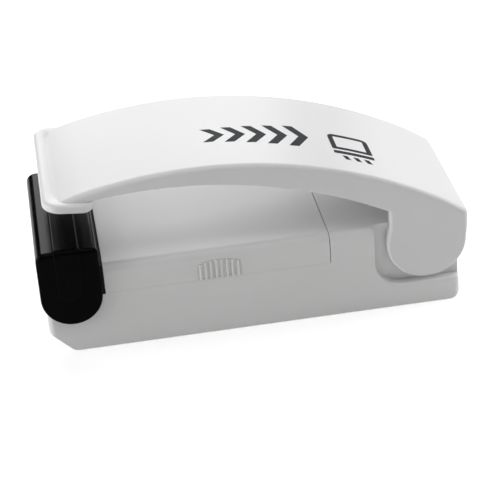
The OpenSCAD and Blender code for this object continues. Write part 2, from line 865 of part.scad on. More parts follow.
// Torsion spring round the hinge shaft: one leg on the bottom plate, one under the arm
module return_spring() {
    tip_gap = 0.6;
    floor_z = plate_t + cradle_h + wind_wire_r + eps;
    roof_z = arm_top - arm_r + sqrt(pow(arm_r - arm_t, 2) - pow(hinge_x - leg_reach - crown_x, 2));
    low_leg = [[-leg_reach, -leg_y, floor_z - hinge_z], [-5, -leg_y, -5]];
    wound = [for (i = [0:8 * wind_turns])
        [wind_r * sin(45 * i), i * wind_pitch / 8 - leg_y, -wind_r * cos(45 * i)]];
    high_leg = [[-4.5, leg_y, 3.3], [-leg_reach, leg_y, roof_z - hinge_z - wind_wire_r - tip_gap]];
    color([0.6, 0.6, 0.62]) from_nose() translate([hinge_x, 0, hinge_z])
        tube(concat(low_leg, wound, high_leg), wind_wire_r, [0, 1, 0]);
}

base_housing();
bottom_plate();
base_screws();
battery_cover();
head_frame();
heater_block();
heater_strip();
release_tape();
head_contact_near();
head_contact_far();
heater_spring_near();
heater_spring_far();
switch_plate_near();
switch_plate_far();
cell_near();
cell_far();
cell_spring_front();
cell_spring_rear();
bridge_plate();
guard();
press_arm();
pad_holder();
silicone_pad();
hinge_shaft();
return_spring();
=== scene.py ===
import json
import math

import bmesh
import bpy
from mathutils import Matrix, Vector


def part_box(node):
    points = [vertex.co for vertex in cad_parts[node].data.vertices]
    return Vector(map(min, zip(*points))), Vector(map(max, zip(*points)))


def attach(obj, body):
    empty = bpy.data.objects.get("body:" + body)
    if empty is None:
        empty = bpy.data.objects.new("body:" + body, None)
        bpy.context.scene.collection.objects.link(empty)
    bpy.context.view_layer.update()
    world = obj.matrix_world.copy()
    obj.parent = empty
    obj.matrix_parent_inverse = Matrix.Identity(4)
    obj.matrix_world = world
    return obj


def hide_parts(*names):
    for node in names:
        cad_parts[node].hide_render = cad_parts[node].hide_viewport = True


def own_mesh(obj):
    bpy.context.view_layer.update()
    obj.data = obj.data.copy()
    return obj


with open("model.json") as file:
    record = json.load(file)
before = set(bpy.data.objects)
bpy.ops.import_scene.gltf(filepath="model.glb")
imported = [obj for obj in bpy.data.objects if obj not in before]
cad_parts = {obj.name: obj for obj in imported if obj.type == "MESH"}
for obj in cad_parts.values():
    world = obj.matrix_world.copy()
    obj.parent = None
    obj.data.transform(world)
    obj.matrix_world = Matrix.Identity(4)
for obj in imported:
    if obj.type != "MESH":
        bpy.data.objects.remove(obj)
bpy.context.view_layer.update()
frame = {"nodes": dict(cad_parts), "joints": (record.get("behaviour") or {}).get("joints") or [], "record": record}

bl_info = {
    "name": "Hand-held bag sealer",
    "version": (1, 0, 0),
    "blender": (4, 5, 0),
    "location": "View3D > Sidebar > Bag sealer",
    "description": "Builds a small sealer for plastic bags around its packed frame",
    "category": "Add Mesh",
}

MM = 0.001
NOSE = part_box("base_housing")[0].x / MM
# In millimetres: a place past the whole object, how far a shape stays inside its CAD node, how near an
# edge lies to the face it is looked for on, how far joined solids run into each other, and the least
# step between two faces
FAR_OFF = 400.0
SKIN = 0.04
NEAR = 0.1
LAP = 1.0
HAIR = 0.01
# Two faces that turn by less than these are one flat face, or one smooth surface
FLAT = math.radians(0.2)
SHARP = math.radians(32)


# Places in the frame. Shapes are drawn in millimetres, with X from the tip of the nose.

def extent(node):
    """Lowest and highest corner of a CAD node."""
    return tuple(corner / MM - Vector((NOSE, 0, 0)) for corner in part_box(node))


def joint(name):
    """A joint of the frame."""
    return next(found for found in frame["joints"] if found["name"] == name)


def axis_of(hinge):
    """X and Z of a hinge's axis."""
    place = joint(hinge)["pos_m"]
    return place[0] / MM - NOSE, place[2] / MM


def limit_of(name):
    """Largest value of a joint, in radians or millimetres."""
    found = joint(name)
    if found["type"] == "hinge":
        return math.radians(found["range_deg"][1])
    return found["range_m"][1] / MM


BASE_LOW, BASE_HIGH = extent("base_housing")
ARM_LOW, ARM_HIGH = extent("press_arm")
GUARD_LOW, GUARD_HIGH = extent("guard")
COVER_LOW, COVER_HIGH = extent("battery_cover")
HINGE_X, HINGE_Z = axis_of("arm_press")
PIVOT_X, PIVOT_Z = axis_of("guard_swing")
HALF_W = BASE_HIGH.y
SIDE_Y = HALF_W - SKIN
REAR_X = ARM_HIGH.x - SKIN
EAR_R = HINGE_Z - ARM_LOW.z
LEG_R = PIVOT_Z - GUARD_LOW.z


# Properties

def length(name, default, description):
    """A length that a user may change, given here in millimetres."""
    return bpy.props.FloatProperty(name=name, description=description, default=default * MM,
                                   min=0.0, subtype="DISTANCE", unit="LENGTH", precision=5)


def colour(name, default, description):
    return bpy.props.FloatVectorProperty(name=name, description=description, default=default,
                                         min=0.0, max=1.0, size=3, subtype="COLOR")


def turn(name, default, description):
    """An angle that a user may change, given here in degrees."""
    return bpy.props.FloatProperty(name=name, description=description,
                                   default=math.radians(default), subtype="ANGLE")


class SealerBase(bpy.types.PropertyGroup):
    """Sizes of the base's outer form"""
    nose_slope: length("Nose slope", 5.3, "Length of the slope under the nose")
    nose_round: length("Nose round", 2.2, "Radius at both ends of the nose slope")
    rear_round: length("Rear round", 2.5, "Radius of the rear lower edge")
    top_round: length("Top round", 2.0, "Radius along the top edges")
    corner_round: length("Corner round", 1.5, "Radius of the upright corners")
    foot_edge: length("Foot edge", 0.3, "Radius of the lower edges")
    rim_edge: length("Rim edge", 0.6, "Radius round the rim of each hinge pocket")
    seam_edge: length("Seam edge", 0.06, "Radius of the edges along each joint")
    pocket_gap: length("Pocket gap", 2.8, "Room in front of each round ear of the arm")
    pocket_under: length("Pocket floor gap", 1.0, "Room under each round ear of the arm")
    pocket_round: length("Pocket round", 6.0, "Radius of the pocket's lower front corner")
    pocket_depth: length("Pocket depth", 2.4, "Depth of each pocket")


class SealerCover(bpy.types.PropertyGroup):
    """Sizes of the battery cover"""
    rib_count: bpy.props.IntProperty(name="Grip ribs", description="Number of grip ribs on each side",
                                     default=8, min=1, max=12)
    rib_pitch: length("Rib pitch", 1.25, "Distance from one grip rib to the next")
    rib_width: length("Rib width", 0.62, "Width of one grip rib")
    rib_height: length("Rib height", 4.9, "Height of the middle grip ribs")
    rib_from_front: length("Rib place", 26.1, "Distance from the front edge to the middle of the ribs")
    rib_arch: length("Rib arch", 0.055, "How fast the ribs get shorter towards the outer ones")
    rib_foot: length("Rib foot", 0.15, "Height of the ribs' lower ends over the cover's edge")
    field_depth: length("Field depth", 0.25, "Depth of the field that the ribs stand in")
    field_margin: length("Field margin", 0.62, "Width of that field beyond the outer ribs")
    plate_room: length("Plate room", 0.15, "Room left round each switch plate behind the cover's lip")
    front_reach: length("Front reach", 0.4, "How far the cover's front edge reaches over the head")
    seam_reach: length("Seam reach", 0.05, "How far the cover's edge reaches into the seam")


class SealerArm(bpy.types.PropertyGroup):
    """Sizes of the press arm"""
    crown_x: length("Crown place", 36.0, "Distance of the crown from the nose")
    rear_drop: length("Rear drop", 19.7, "Height of the crown above the arm's rear edge")
    top_edge: length("Top edge", 1.3, "Radius along the top edges")
    side_edge: length("Side edge", 0.7, "Radius along the edges of the sides")
    skirt_crown_x: length("Side crown place", 27.0, "Highest place of the side's lower edge")
    skirt_crown_z: length("Side crown height", 38.74, "Height of the side's lower edge there")
    skirt_front: length("Side front", 12.5, "Place inside the foot where the sides begin")
    neck_x: length("Neck place", 80.7, "Front of the neck above each ear")
    neck_z: length("Neck height", 25.2, "Height where the side meets the neck")
    neck_round: length("Neck round", 0.7, "Radius in the corner of the neck")
    front_x: length("Front", 3.6, "Front end of the arm inside the foot")
    hidden_z: length("Hidden height", 37.4, "Height of the arm's underside inside the foot")
    ramp_x: length("Ramp start", 5.03, "Place of the valley behind the foot's rim")
    ramp_z: length("Ramp height", 38.1, "Height of that valley")
    ramp_round: length("Ramp round", 5.0, "Radius where the ramp rises out of the valley")
    ramp_end: length("Ramp end", 9.97, "Place where the ramp meets the arch")
    rear_line_x: length("Rear line", 94.3, "Place of the faint line across the rear")
    rear_line_drop: length("Rear line drop", 0.22, "How far the surface falls away behind it")
    rear_round: length("Rear round", 1.5, "Radius between the arm's top and its rear")
    rear_turn_z: length("Rear turn", 21.9, "Height where the sides' rear line turns upright")


class SealerFoot(bpy.types.PropertyGroup):
    """Sizes of the foot at the front of the arm, and of its soft pad"""
    foot_length: length("Foot length", 11.5, "Length of the foot")
    thickness: length("Foot thickness", 2.1, "Thickness of the foot")
    jaw_open: length("Jaw opening", 8.9, "Height of the open jaw over the guard")
    stop_gap: length("Stop gap", 0.2, "Gap over the guard when the arm is pressed")
    front_round: length("Front corners", 4.2, "Radius of the front corners, seen from above")
    rear_round: length("Rear corners", 2.8, "Radius of the rear corners, seen from above")
    top_edge: length("Top edge", 0.9, "Radius of the top edge")
    low_edge: length("Low edge", 0.7, "Radius of the lower edge")
    crest_x: length("Rim place", 1.1, "Distance of the rim's crest from the front")
    valley_x: length("Valley place", 3.0, "Distance of the valley from the front")
    valley_depth: length("Valley depth", 0.6, "Depth of the valley behind the rim")
    valley_run: length("Valley run", 6.0, "Length over which the valley fades out")
    valley_half: length("Valley half width", 13.5, "Half the width of the valley's full depth")
    valley_fade: length("Valley fade", 6.5, "Length over which the valley ends towards each side")
    skin_front: length("Skin front", 4.4, "Front of the skin kept under the valley")
    skin_rear: length("Skin rear", 8.0, "Rear of that skin")
    skin_front_z: length("Skin front height", 37.82, "Height of that skin at its front")
    skin_rear_z: length("Skin rear height", 38.12, "Height of that skin at its rear")
    skin_y: length("Skin half width", 17.0, "Half the width of that skin")
    pad_width: length("Pad width", 4.3, "Width of the soft pad")
    pad_length: length("Pad length", 31.5, "Length of the soft pad")
    pad_proud: length("Pad height", 2.8, "Height of the soft pad below the foot")
    pad_seat: length("Pad seat", 1.23, "Depth of the soft pad's upper part in its holder")
    pad_round: length("Pad round", 0.8, "Radius along the soft pad's face")
    pad_end: length("Pad end", 0.5, "Radius at the soft pad's ends")


class SealerGuard(bpy.types.PropertyGroup):
    """Sizes of the guard"""
    wall: length("Wall", 0.9, "Thickness of the roof and of the front lip")
    leg_wall: length("Leg wall", 1.25, "Thickness of the legs")
    lip_z: length("Lip height", 22.5, "Height of the lower edge of the front lip")
    front_round: length("Front round", 2.2, "Radius of the roof's front edge")
    rear_round: length("Rear round", 1.2, "Radius of the roof's rear edge")
    side_round: length("Side round", 1.2, "Radius between the roof and the legs")
    leg_edge: length("Leg edge", 0.35, "Radius round the edges of the legs")
    band_width: length("Band width", 6.1, "Width of the raised band")
    band_proud: length("Band height", 0.5, "Height of the raised band")
    band_edge: length("Band edge", 0.47, "Radius along the band's edges")
    band_rise: length("Band end", 2.3, "Height of the round band ends above the pivot")
    boss_r: length("Boss radius", 2.0, "Radius of the pivot bosses")


class SealerPrint(bpy.types.PropertyGroup):
    """Sizes of the print on the arm"""
    proud: length("Ink thickness", 0.02, "Thickness of the ink")
    middle_y: length("Print middle", 3.4, "Distance of the print's middle from the arm's middle")
    first_x: length("First chevron", 40.5, "Place of the first chevron")
    chevrons: bpy.props.IntProperty(name="Chevrons", description="Number of chevrons in the row",
                                    default=5, min=1, max=7)
    chevron_pitch: length("Chevron pitch", 4.9, "Distance from one chevron to the next")
    chevron_width: length("Chevron width", 2.3, "Width of a chevron's arms along the row")
    chevron_point: length("Chevron point", 3.0, "How far a chevron's point reaches ahead of its arms")
    chevron_height: length("Chevron height", 6.8, "Height of the first chevron")
    chevron_growth: length("Chevron growth", 1.0, "How much each chevron is higher than the last")
    bag_x: length("Bag place", 75.0, "Place of the middle of the bag sign")
    bag_width: length("Bag width", 9.4, "Width of the bag sign")
    bag_height: length("Bag height", 8.2, "Height of the bag's body")
    bag_round: length("Bag round", 1.6, "Radius of the bag's lower corners")
    bag_line: length("Bag line", 1.2, "Width of the bag's outline")
    seam_gap: length("Seam gap", 0.9, "Gap between the bag's body and its seam")
    seam_width: length("Seam width", 1.5, "Width of the bag's seam")
    tick_length: length("Tick length", 1.9, "Length of the three heat marks over the seam")
    tick_pitch: length("Tick pitch", 2.5, "Distance from one heat mark to the next")


class SealerCells(bpy.types.PropertyGroup):
    """Sizes of the cells"""
    button_height: length("Button height", 1.0, "Height of the button")
    button_radius: length("Button radius", 2.75, "Radius of the button")
    button_edge: length("Button edge", 0.35, "Radius round the button")
    shoulder: length("Shoulder", 0.7, "Radius of the can's shoulder")
    film_lap: length("Film lap", 1.5, "Width of the film folded over each end")
    dish: length("Dish", 0.25, "Depth of the dished ring at each end")


class SealerSprings(bpy.types.PropertyGroup):
    """Sizes of the springs"""
    heater_radius: length("Heater spring radius", 2.1, "Outer radius of the heater springs")
    heater_wire: length("Heater spring wire", 0.25, "Radius of their wire")
    heater_turns: bpy.props.IntProperty(name="Heater spring turns", min=3, default=7,
                                        description="Number of turns, with one closed at each end")
    cell_radius: length("Cell spring radius", 4.0, "Outer radius of the cell springs at the plate")
    cell_tip: length("Cell spring tip", 2.4, "Outer radius of the cell springs at the cell")
    cell_wire: length("Cell spring wire", 0.35, "Radius of their wire")
    return_radius: length("Return spring radius", 2.5, "Radius of the return spring's turns")
    return_wire: length("Return spring wire", 0.4, "Radius of its wire")
    return_pitch: length("Return spring pitch", 1.2, "Distance between its turns")
    leg_start: length("Leg start", 4.2, "Length of the straight start of both legs")


class SealerStage(bpy.types.PropertyGroup):
    """Place, direction and lens of the camera"""
    camera_place: bpy.props.FloatVectorProperty(name="Camera place", size=3, subtype="TRANSLATION",
                                                unit="LENGTH", description="Place of the camera",
                                                default=(-0.043820, -0.387336, 0.227286))
    camera_yaw: turn("Camera yaw", 6.5949, "Turn of the camera away from straight ahead")
    camera_pitch: turn("Camera pitch", 29.2204, "Tilt of the camera downwards")
    camera_roll: turn("Camera roll", -4.4558, "Roll of the camera about its own line of sight")
    lens: bpy.props.FloatProperty(name="Lens", description="Focal length in millimetres",
                                  default=133.235, min=1.0)


class SealerColours(bpy.types.PropertyGroup):
    """Colours of the mouldings and of the metal"""
    base: colour("Base", (0.87, 0.865, 0.86), "Base, cover and bottom plate")
    arm: colour("Arm", (0.86, 0.86, 0.87), "Press arm")
    guard: colour("Guard", (0.0025, 0.0025, 0.003), "Guard over the heater")
    head: colour("Head", (0.007, 0.007, 0.008), "Head round the heater")
    bar: colour("Heater bar", (0.62, 0.56, 0.46), "Bar that carries the heating strip")
    strip: colour("Heating strip", (0.56, 0.52, 0.47), "Flat heating strip")
    tape: colour("Release tape", (0.42, 0.25, 0.12), "Coated glass cloth over the strip")
    brass: colour("Brass", (0.75, 0.58, 0.3), "Contacts")
    wire: colour("Spring wire", (0.55, 0.55, 0.57), "Springs")
    zinc: colour("Zinc", (0.7, 0.71, 0.73), "Screws and hinge shaft")
    jacket: colour("Cell jacket", (0.03, 0.1, 0.06), "Film round each cell")
    pad: colour("Pad", (0.016, 0.016, 0.017), "Soft pad under the foot")
    ink: colour("Ink", (0.008, 0.009, 0.013), "Print on the arm")


GROUPS = {"sealer_base": SealerBase, "sealer_cover": SealerCover, "sealer_arm": SealerArm,
          "sealer_foot": SealerFoot, "sealer_guard": SealerGuard, "sealer_print": SealerPrint,
          "sealer_cells": SealerCells, "sealer_springs": SealerSprings,
          "sealer_stage": SealerStage, "sealer_colours": SealerColours}


class Sizes:
    """A property group's lengths, read in millimetres."""

    def __init__(self, group):
        self.group = getattr(bpy.context.scene, group)

    def __getattr__(self, name):
        return getattr(self.group, name) / MM


def colour_of(name):
    return tuple(getattr(bpy.context.scene.sealer_colours, name))


# Outlines: lists of points in a plane

def arc(cx, cz, r, start, end, step=6.0):
    """Points along an arc, with its angles in degrees."""
    count = max(2, math.ceil(abs(end - start) / step))
    angles = [math.radians(start + (end - start) * i / count) for i in range(count + 1)]
    return [(cx + r * math.cos(a), cz + r * math.sin(a)) for a in angles]


def crest(circle, x0, x1, step=1.0):
    """Points along the upper half of a circle, from one X to another."""
    cx, cz, r = circle
    start, end = (math.degrees(math.acos((x - cx) / r)) for x in (x0, x1))
    return arc(cx, cz, r, start, end, step)


def rounded(corners, steps=6):
    """Closed outline from corners (x, z, radius), each with its corner rounded."""
    points = []
    for i, (x, z, r) in enumerate(corners):
        here = Vector((x, z))
        if not r:
            points.append(tuple(here))
            continue
        to_last = (Vector(corners[i - 1][:2]) - here).normalized()
        to_next = (Vector(corners[(i + 1) % len(corners)][:2]) - here).normalized()
        half = to_last.angle(to_next) / 2
        centre = here + (to_last + to_next).normalized() * (r / math.sin(half))
        first = here + to_last * (r / math.tan(half)) - centre
        last = here + to_next * (r / math.tan(half)) - centre
        sweep = first.angle_signed(last)
        for k in range(steps + 1):
            spoke = first.copy()
            spoke.rotate(Matrix.Rotation(-sweep * k / steps, 2))
            points.append(tuple(centre + spoke))
    return points


def rectangle(x0, x1, z0, z1, r=0.0, steps=6):
    return rounded([(x0, z0, r), (x1, z0, r), (x1, z1, r), (x0, z1, r)], steps)


# Solids: bmesh shapes in millimetres

def stretched(points, low, high, place):
    """Closed solid from an outline, swept from low to high. place(a, b, depth) puts a point in space."""
    bm = bmesh.new()
    face = bm.faces.new([bm.verts.new(place(a, b, low)) for a, b in points])
    swept = bmesh.ops.extrude_face_region(bm, geom=[face])["geom"]
    shift = Vector(place(0, 0, high)) - Vector(place(0, 0, low))
    bmesh.ops.translate(bm, verts=[v for v in swept if isinstance(v, bmesh.types.BMVert)], vec=shift)
    bmesh.ops.recalc_face_normals(bm, faces=bm.faces)
    return bm


def across(points, y0, y1):
    """Solid with an X-Z outline."""
    return stretched(points, y0, y1, lambda a, b, depth: (a, depth, b))


def along(points, x0, x1):
    """Solid with a Y-Z outline."""
    return stretched(points, x0, x1, lambda a, b, depth: (depth, a, b))


def upright(points, z0, z1):
    """Solid with an X-Y outline."""
    return stretched(points, z0, z1, lambda a, b, depth: (a, b, depth))


def rod(x, z, r, y0, y1):
    """Round rod across the object."""
    step = 7.5
    return across(arc(x, z, r, 0, 360 - step, step), y0, y1)


def everything(bm):
    """All that a shape is made of, for a bmesh operation."""
    return bm.verts[:] + bm.edges[:] + bm.faces[:]


def mirrored(bm):
    """A shape and its mirror image across the middle."""
    bmesh.ops.mirror(bm, geom=everything(bm), axis="Y", merge_dist=-1)
    bmesh.ops.recalc_face_normals(bm, faces=bm.faces)
    return bm


def scratch_object(bm):
    mesh = bpy.data.meshes.new("scratch")
    bm.to_mesh(mesh)
    bm.free()
    obj = bpy.data.objects.new("scratch", mesh)
    bpy.context.scene.collection.objects.link(obj)
    return obj


def taken_up(obj, *others):
    """The bmesh of an object with its modifiers applied. The object and the others are removed."""
    bpy.context.view_layer.update()
    graph = bpy.context.evaluated_depsgraph_get()
    bm = bmesh.new()
    bm.from_mesh(obj.evaluated_get(graph).to_mesh())
    for done in (obj, *others):
        mesh = done.data
        bpy.data.objects.remove(done)
        bpy.data.meshes.remove(mesh)
    return bm


def combined(bm, tools, operation):
    """Joins, cuts or shares solids, and dissolves the lines inside their flat faces."""
    for tool in tools:
        obj, other = scratch_object(bm), scratch_object(tool)
        step = obj.modifiers.new("combine", "BOOLEAN")
        step.operation, step.object, step.solver = operation, other, "MANIFOLD"
        bm = taken_up(obj, other)
    bmesh.ops.dissolve_limit(bm, angle_limit=FLAT, verts=bm.verts, edges=bm.edges)
    return bm


def joined(bm, *tools):
    return combined(bm, tools, "UNION")


def carved(bm, *tools):
    return combined(bm, tools, "DIFFERENCE")


def shared(bm, tool):
    return combined(bm, [tool], "INTERSECT")


def at_ends(y, radius):
    """Gives a radius to the edges of a shape's end faces, at Y and -Y, for softened."""
    return lambda spot: radius if abs(spot.y) > y - NEAR else 0


def softened(bm, radius_at, segments, least_angle=25.0):
    """Rounds the edges that turn by least_angle degrees or more.

    radius_at gives an edge's radius from the place of its middle, or 0 to leave it sharp.
    """
    layer = "bevel_weight_edge"
    weight = bm.edges.layers.float.new(layer)
    sharp = [e for e in bm.edges if e.is_manifold and e.calc_face_angle(0) > math.radians(least_angle)]
    radii = {e: radius_at((e.verts[0].co + e.verts[1].co) / 2) for e in sharp}
    widest = max(radii.values())
    for edge, radius in radii.items():
        edge[weight] = radius / widest
    obj = scratch_object(bm)
    step = obj.modifiers.new("soften", "BEVEL")
    step.limit_method, step.width, step.segments = "WEIGHT", widest, segments
    step.use_clamp_overlap = False
    bm = taken_up(obj)
    bm.edges.layers.float.remove(bm.edges.layers.float[layer])
    return bm


def cad_copy(*nodes):
    """CAD nodes as one closed shape in millimetres, with X from the nose."""
    bm = bmesh.new()
    for node in nodes:
        bm.from_mesh(frame["nodes"][node].data)
    bmesh.ops.transform(bm, verts=bm.verts,
                        matrix=Matrix.Translation((-NOSE, 0, 0)) @ Matrix.Scale(1 / MM, 4))
    bmesh.ops.remove_doubles(bm, verts=bm.verts, dist=0.001)
    bmesh.ops.dissolve_limit(bm, angle_limit=FLAT, verts=bm.verts, edges=bm.edges)
    return bm


def swept(path, r):
    """Round wire along a path."""
    path = [Vector(spot) for spot in path]
    # Any direction that no path starts along
    normal = Vector((0.3, 0.2, 0.9))
    frames = []
    for i, spot in enumerate(path):
        ahead = (path[min(i + 1, len(path) - 1)] - path[max(i - 1, 0)]).normalized()
        normal = (normal - ahead * normal.dot(ahead)).normalized()
        axes = Matrix((normal, ahead.cross(normal), ahead)).transposed()
        frames.append(Matrix.Translation(spot) @ axes.to_4x4())
    bm = bmesh.new()
    bmesh.ops.create_circle(bm, cap_ends=True, segments=12, radius=r, matrix=frames[0])
    end = bm.faces[:]
    walls_across = []
    for last, now in zip(frames, frames[1:]):
        if last is not frames[0]:
            walls_across += end
        geom = bmesh.ops.extrude_face_region(bm, geom=end)["geom"]
        end = [g for g in geom if isinstance(g, bmesh.types.BMFace)]
        verts = [g for g in geom if isinstance(g, bmesh.types.BMVert)]
        bmesh.ops.transform(bm, verts=verts, matrix=now @ last.inverted())
    bmesh.ops.delete(bm, geom=walls_across, context="FACES_ONLY")
    bmesh.ops.recalc_face_normals(bm, faces=bm.faces)
    return bm


def turned(profile, centre):
    """Solid of revolution about a line along X. The profile is a list of (x, radius), axis to axis."""
    bm = bmesh.new()
    verts = [bm.verts.new((x, centre.y, centre.z + r)) for x, r in profile]
    edges = [bm.edges.new(pair) for pair in zip(verts, verts[1:])]
    bmesh.ops.spin(bm, geom=verts + edges, cent=centre, axis=(1, 0, 0), angle=2 * math.pi,
                   steps=64, use_merge=True)
    bmesh.ops.remove_doubles(bm, verts=bm.verts, dist=0.0001)
    bmesh.ops.recalc_face_normals(bm, faces=bm.faces)
    return bm


def finished(bm, name, body, slot, replaces=(), finish=None):
    """Turns a shape into a piece, in metres and in the frame's place, with its slot's finish or its own."""
    bmesh.ops.triangulate(bm, faces=bm.faces, quad_method="BEAUTY", ngon_method="BEAUTY")
    if not bm.faces or any(not edge.is_manifold for edge in bm.edges):
        raise RuntimeError(name + " is not a closed solid")
    bm.normal_update()
    for face in bm.faces:
        face.smooth = True
    for edge in bm.edges:
        edge.smooth = edge.calc_face_angle(0) < SHARP
    bmesh.ops.transform(bm, verts=bm.verts,
                        matrix=Matrix.Scale(MM, 4) @ Matrix.Translation((NOSE, 0, 0)))
    mesh = bpy.data.meshes.new(name)
    bm.to_mesh(mesh)
    bm.free()
    mesh.materials.append(finish or material(slot))
    obj = bpy.data.objects.new(name, mesh)
    bpy.context.scene.collection.objects.link(obj)
    weighted = obj.modifiers.new("flat faces stay flat", "WEIGHTED_NORMAL")
    weighted.keep_sharp = True
    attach(obj, body)
    if replaces:
        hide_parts(*replaces)
    return obj


# Materials

class Link:
    """A shader socket that Python expressions run on."""

    def __init__(self, finish, socket):
        self.finish, self.socket = finish, socket

    def _math(self, operation, *values):
        return self.finish.node("ShaderNodeMath", {"operation": operation}, dict(enumerate(values)))

    def __add__(self, other):
        return self._math("ADD", self, other)

    def __sub__(self, other):
        return self._math("SUBTRACT", self, other)

    def __rsub__(self, other):
        return self._math("SUBTRACT", other, self)

    def __mul__(self, other):
        return self._math("MULTIPLY", self, other)

    __radd__, __rmul__ = __add__, __mul__

    def sine(self):
        return self._math("SINE", self)

    def size(self):
        return self._math("ABSOLUTE", self)

    def least(self, other):
        return self._math("MINIMUM", self, other)

    def ramp(self, low, high, to_low=0.0, to_high=1.0):
        """Smooth step from to_low at low to to_high at high."""
        return self.finish.node("ShaderNodeMapRange", {"interpolation_type": "SMOOTHSTEP"},
                                {"Value": self, "From Min": low, "From Max": high,
                                 "To Min": to_low, "To Max": to_high})


class Finish:
    """One material, and the ways to add nodes to it."""

    def __init__(self, name):
        self.material = bpy.data.materials.new(name)
        self.material.use_nodes = True
        self.tree = self.material.node_tree
        self.tree.nodes.clear()
        self.place = self.node("ShaderNodeTexCoord", {}, {}, "Object")

    def node(self, kind, settings, values, output=0):
        """Adds a node with its settings, and values or links on its sockets. Returns one output."""
        made = self.tree.nodes.new(kind)
        for key, value in settings.items():
            setattr(made, key, value)
        for key, value in values.items():
            if isinstance(value, Link):
                self.tree.links.new(value.socket, made.inputs[key])
            else:
                made.inputs[key].default_value = value
        return Link(self, made.outputs[output]) if made.outputs else None

    def noise(self, per_metre, detail, rough, stretch=(1, 1, 1), seed=0.0):
        """Soft noise from 0 to 1, with per_metre cells to the metre. A seed takes it from another place."""
        spot = self.node("ShaderNodeMapping", {}, {"Vector": self.place, "Scale": stretch,
                                                   "Location": (seed, seed * 0.7, -seed)})
        return self.node("ShaderNodeTexNoise", {}, {"Vector": spot, "Scale": per_metre,
                                                    "Detail": detail, "Roughness": rough})

    def mixed(self, factor, a, b):
        """Mixes two colours. The Mix node has its colours on sockets 6 and 7, and its colour out on 2."""
        return self.node("ShaderNodeMix", {"data_type": "RGBA"}, {0: factor, 6: a, 7: b}, 2)

    def coordinates(self):
        """X, Y and Z on the object, in metres."""
        return [self.node("ShaderNodeSeparateXYZ", {}, {0: self.place}, i) for i in range(3)]

    def bump(self, height, depth):
        """Bump of a height from 0 to 1, with its depth in millimetres."""
        return self.node("ShaderNodeBump", {}, {"Height": height, "Strength": 1.0, "Distance": depth * MM})

    def surface(self, **sockets):
        """Puts a Principled shader on the surface."""
        names = {key.replace("_", " ").title().replace("Ior", "IOR"): value for key, value in sockets.items()}
        shader = self.node("ShaderNodeBsdfPrincipled", {}, names)
        self.node("ShaderNodeOutputMaterial", {}, {"Surface": shader})
        return self.material


def tone(rgb, factor=1.0):
    """A colour made darker or lighter, with its alpha."""
    return tuple(min(1.0, c * factor) for c in rgb) + (1.0,)


def moulded_plastic(name, rgb, roughness, mottle=0.02, specular=0.5, grain=0.006):
    """Satin moulding: faint flow marks, a fine grain and uneven gloss."""
    f = Finish(name)
    flow = f.noise(28.0, detail=3.0, rough=0.55, stretch=(1.0, 1.6, 2.2), seed=3.0)
    fine = f.noise(2600.0, detail=2.0, rough=0.6, seed=1.0)
    wave = f.noise(160.0, detail=2.0, rough=0.4, seed=5.0)
    shade = f.mixed(flow.ramp(0.3, 0.7), tone(rgb, 1.0 - mottle), tone(rgb, 1.0 + mottle / 2))
    patches = flow.ramp(0.25, 0.75, roughness - 0.03, roughness + 0.04)
    fine_share, speckle = 0.35, 0.06
    relief = fine * fine_share + wave * (1 - fine_share)
    return f.surface(base_color=shade, roughness=patches + (fine - 0.5) * speckle,
                     specular_ior_level=specular, normal=f.bump(relief, grain))


def polished_black(name, rgb):
    """Black moulding with a polished roof and duller legs."""
    f = Finish(name)
    _, y, _ = f.coordinates()
    roof_edge, leg_face = GUARD_HIGH.y - 1.5, GUARD_HIGH.y - 0.8
    polish = y.size().ramp(roof_edge * MM, leg_face * MM, 0.25, 0.0)
    flow = f.noise(60.0, detail=3.0, rough=0.5, seed=2.0)
    fine = f.noise(2600.0, detail=2.0, rough=0.6, seed=1.0)
    shade = f.mixed(flow.ramp(0.3, 0.7), tone(rgb, 0.8), tone(rgb, 1.3))
    return f.surface(base_color=shade, roughness=flow.ramp(0.3, 0.7, 0.14, 0.22),
                     specular_ior_level=0.02, coat_weight=polish, coat_roughness=0.2,
                     normal=f.bump(fine, 0.003))


def metal(name, rgb, roughness, brushed):
    """Bare metal with drawn or rolled lines and dull patches."""
    f = Finish(name)
    lines = f.noise(1500.0, detail=3.0, rough=0.7, stretch=brushed, seed=2.0)
    patches = f.noise(240.0, detail=3.0, rough=0.5, seed=6.0)
    shade = f.mixed(patches.ramp(0.35, 0.7), tone(rgb), tone(rgb, 0.82))
    # How much the lines and the patches add to the roughness, and how far below it the sum starts
    from_lines, from_patches, below = 0.16, 0.12, 0.1
    gloss = lines * from_lines + patches * from_patches + (roughness - below)
    return f.surface(base_color=shade, metallic=1.0, roughness=gloss, normal=f.bump(lines, 0.004))


def soft_rubber(name, rgb):
    """Matt silicone with fine dust in its grain."""
    f = Finish(name)
    grain = f.noise(3200.0, detail=3.0, rough=0.6)
    dust = f.noise(300.0, detail=4.0, rough=0.65, seed=4.0)
    dust_colour = (0.6, 0.45, 0.4)
    shade = f.mixed(dust.ramp(0.5, 0.8, 0.0, 0.35), tone(rgb), tone(dust_colour))
    return f.surface(base_color=shade, roughness=dust.ramp(0.2, 0.8, 0.55, 0.75),
                     normal=f.bump(grain, 0.01))


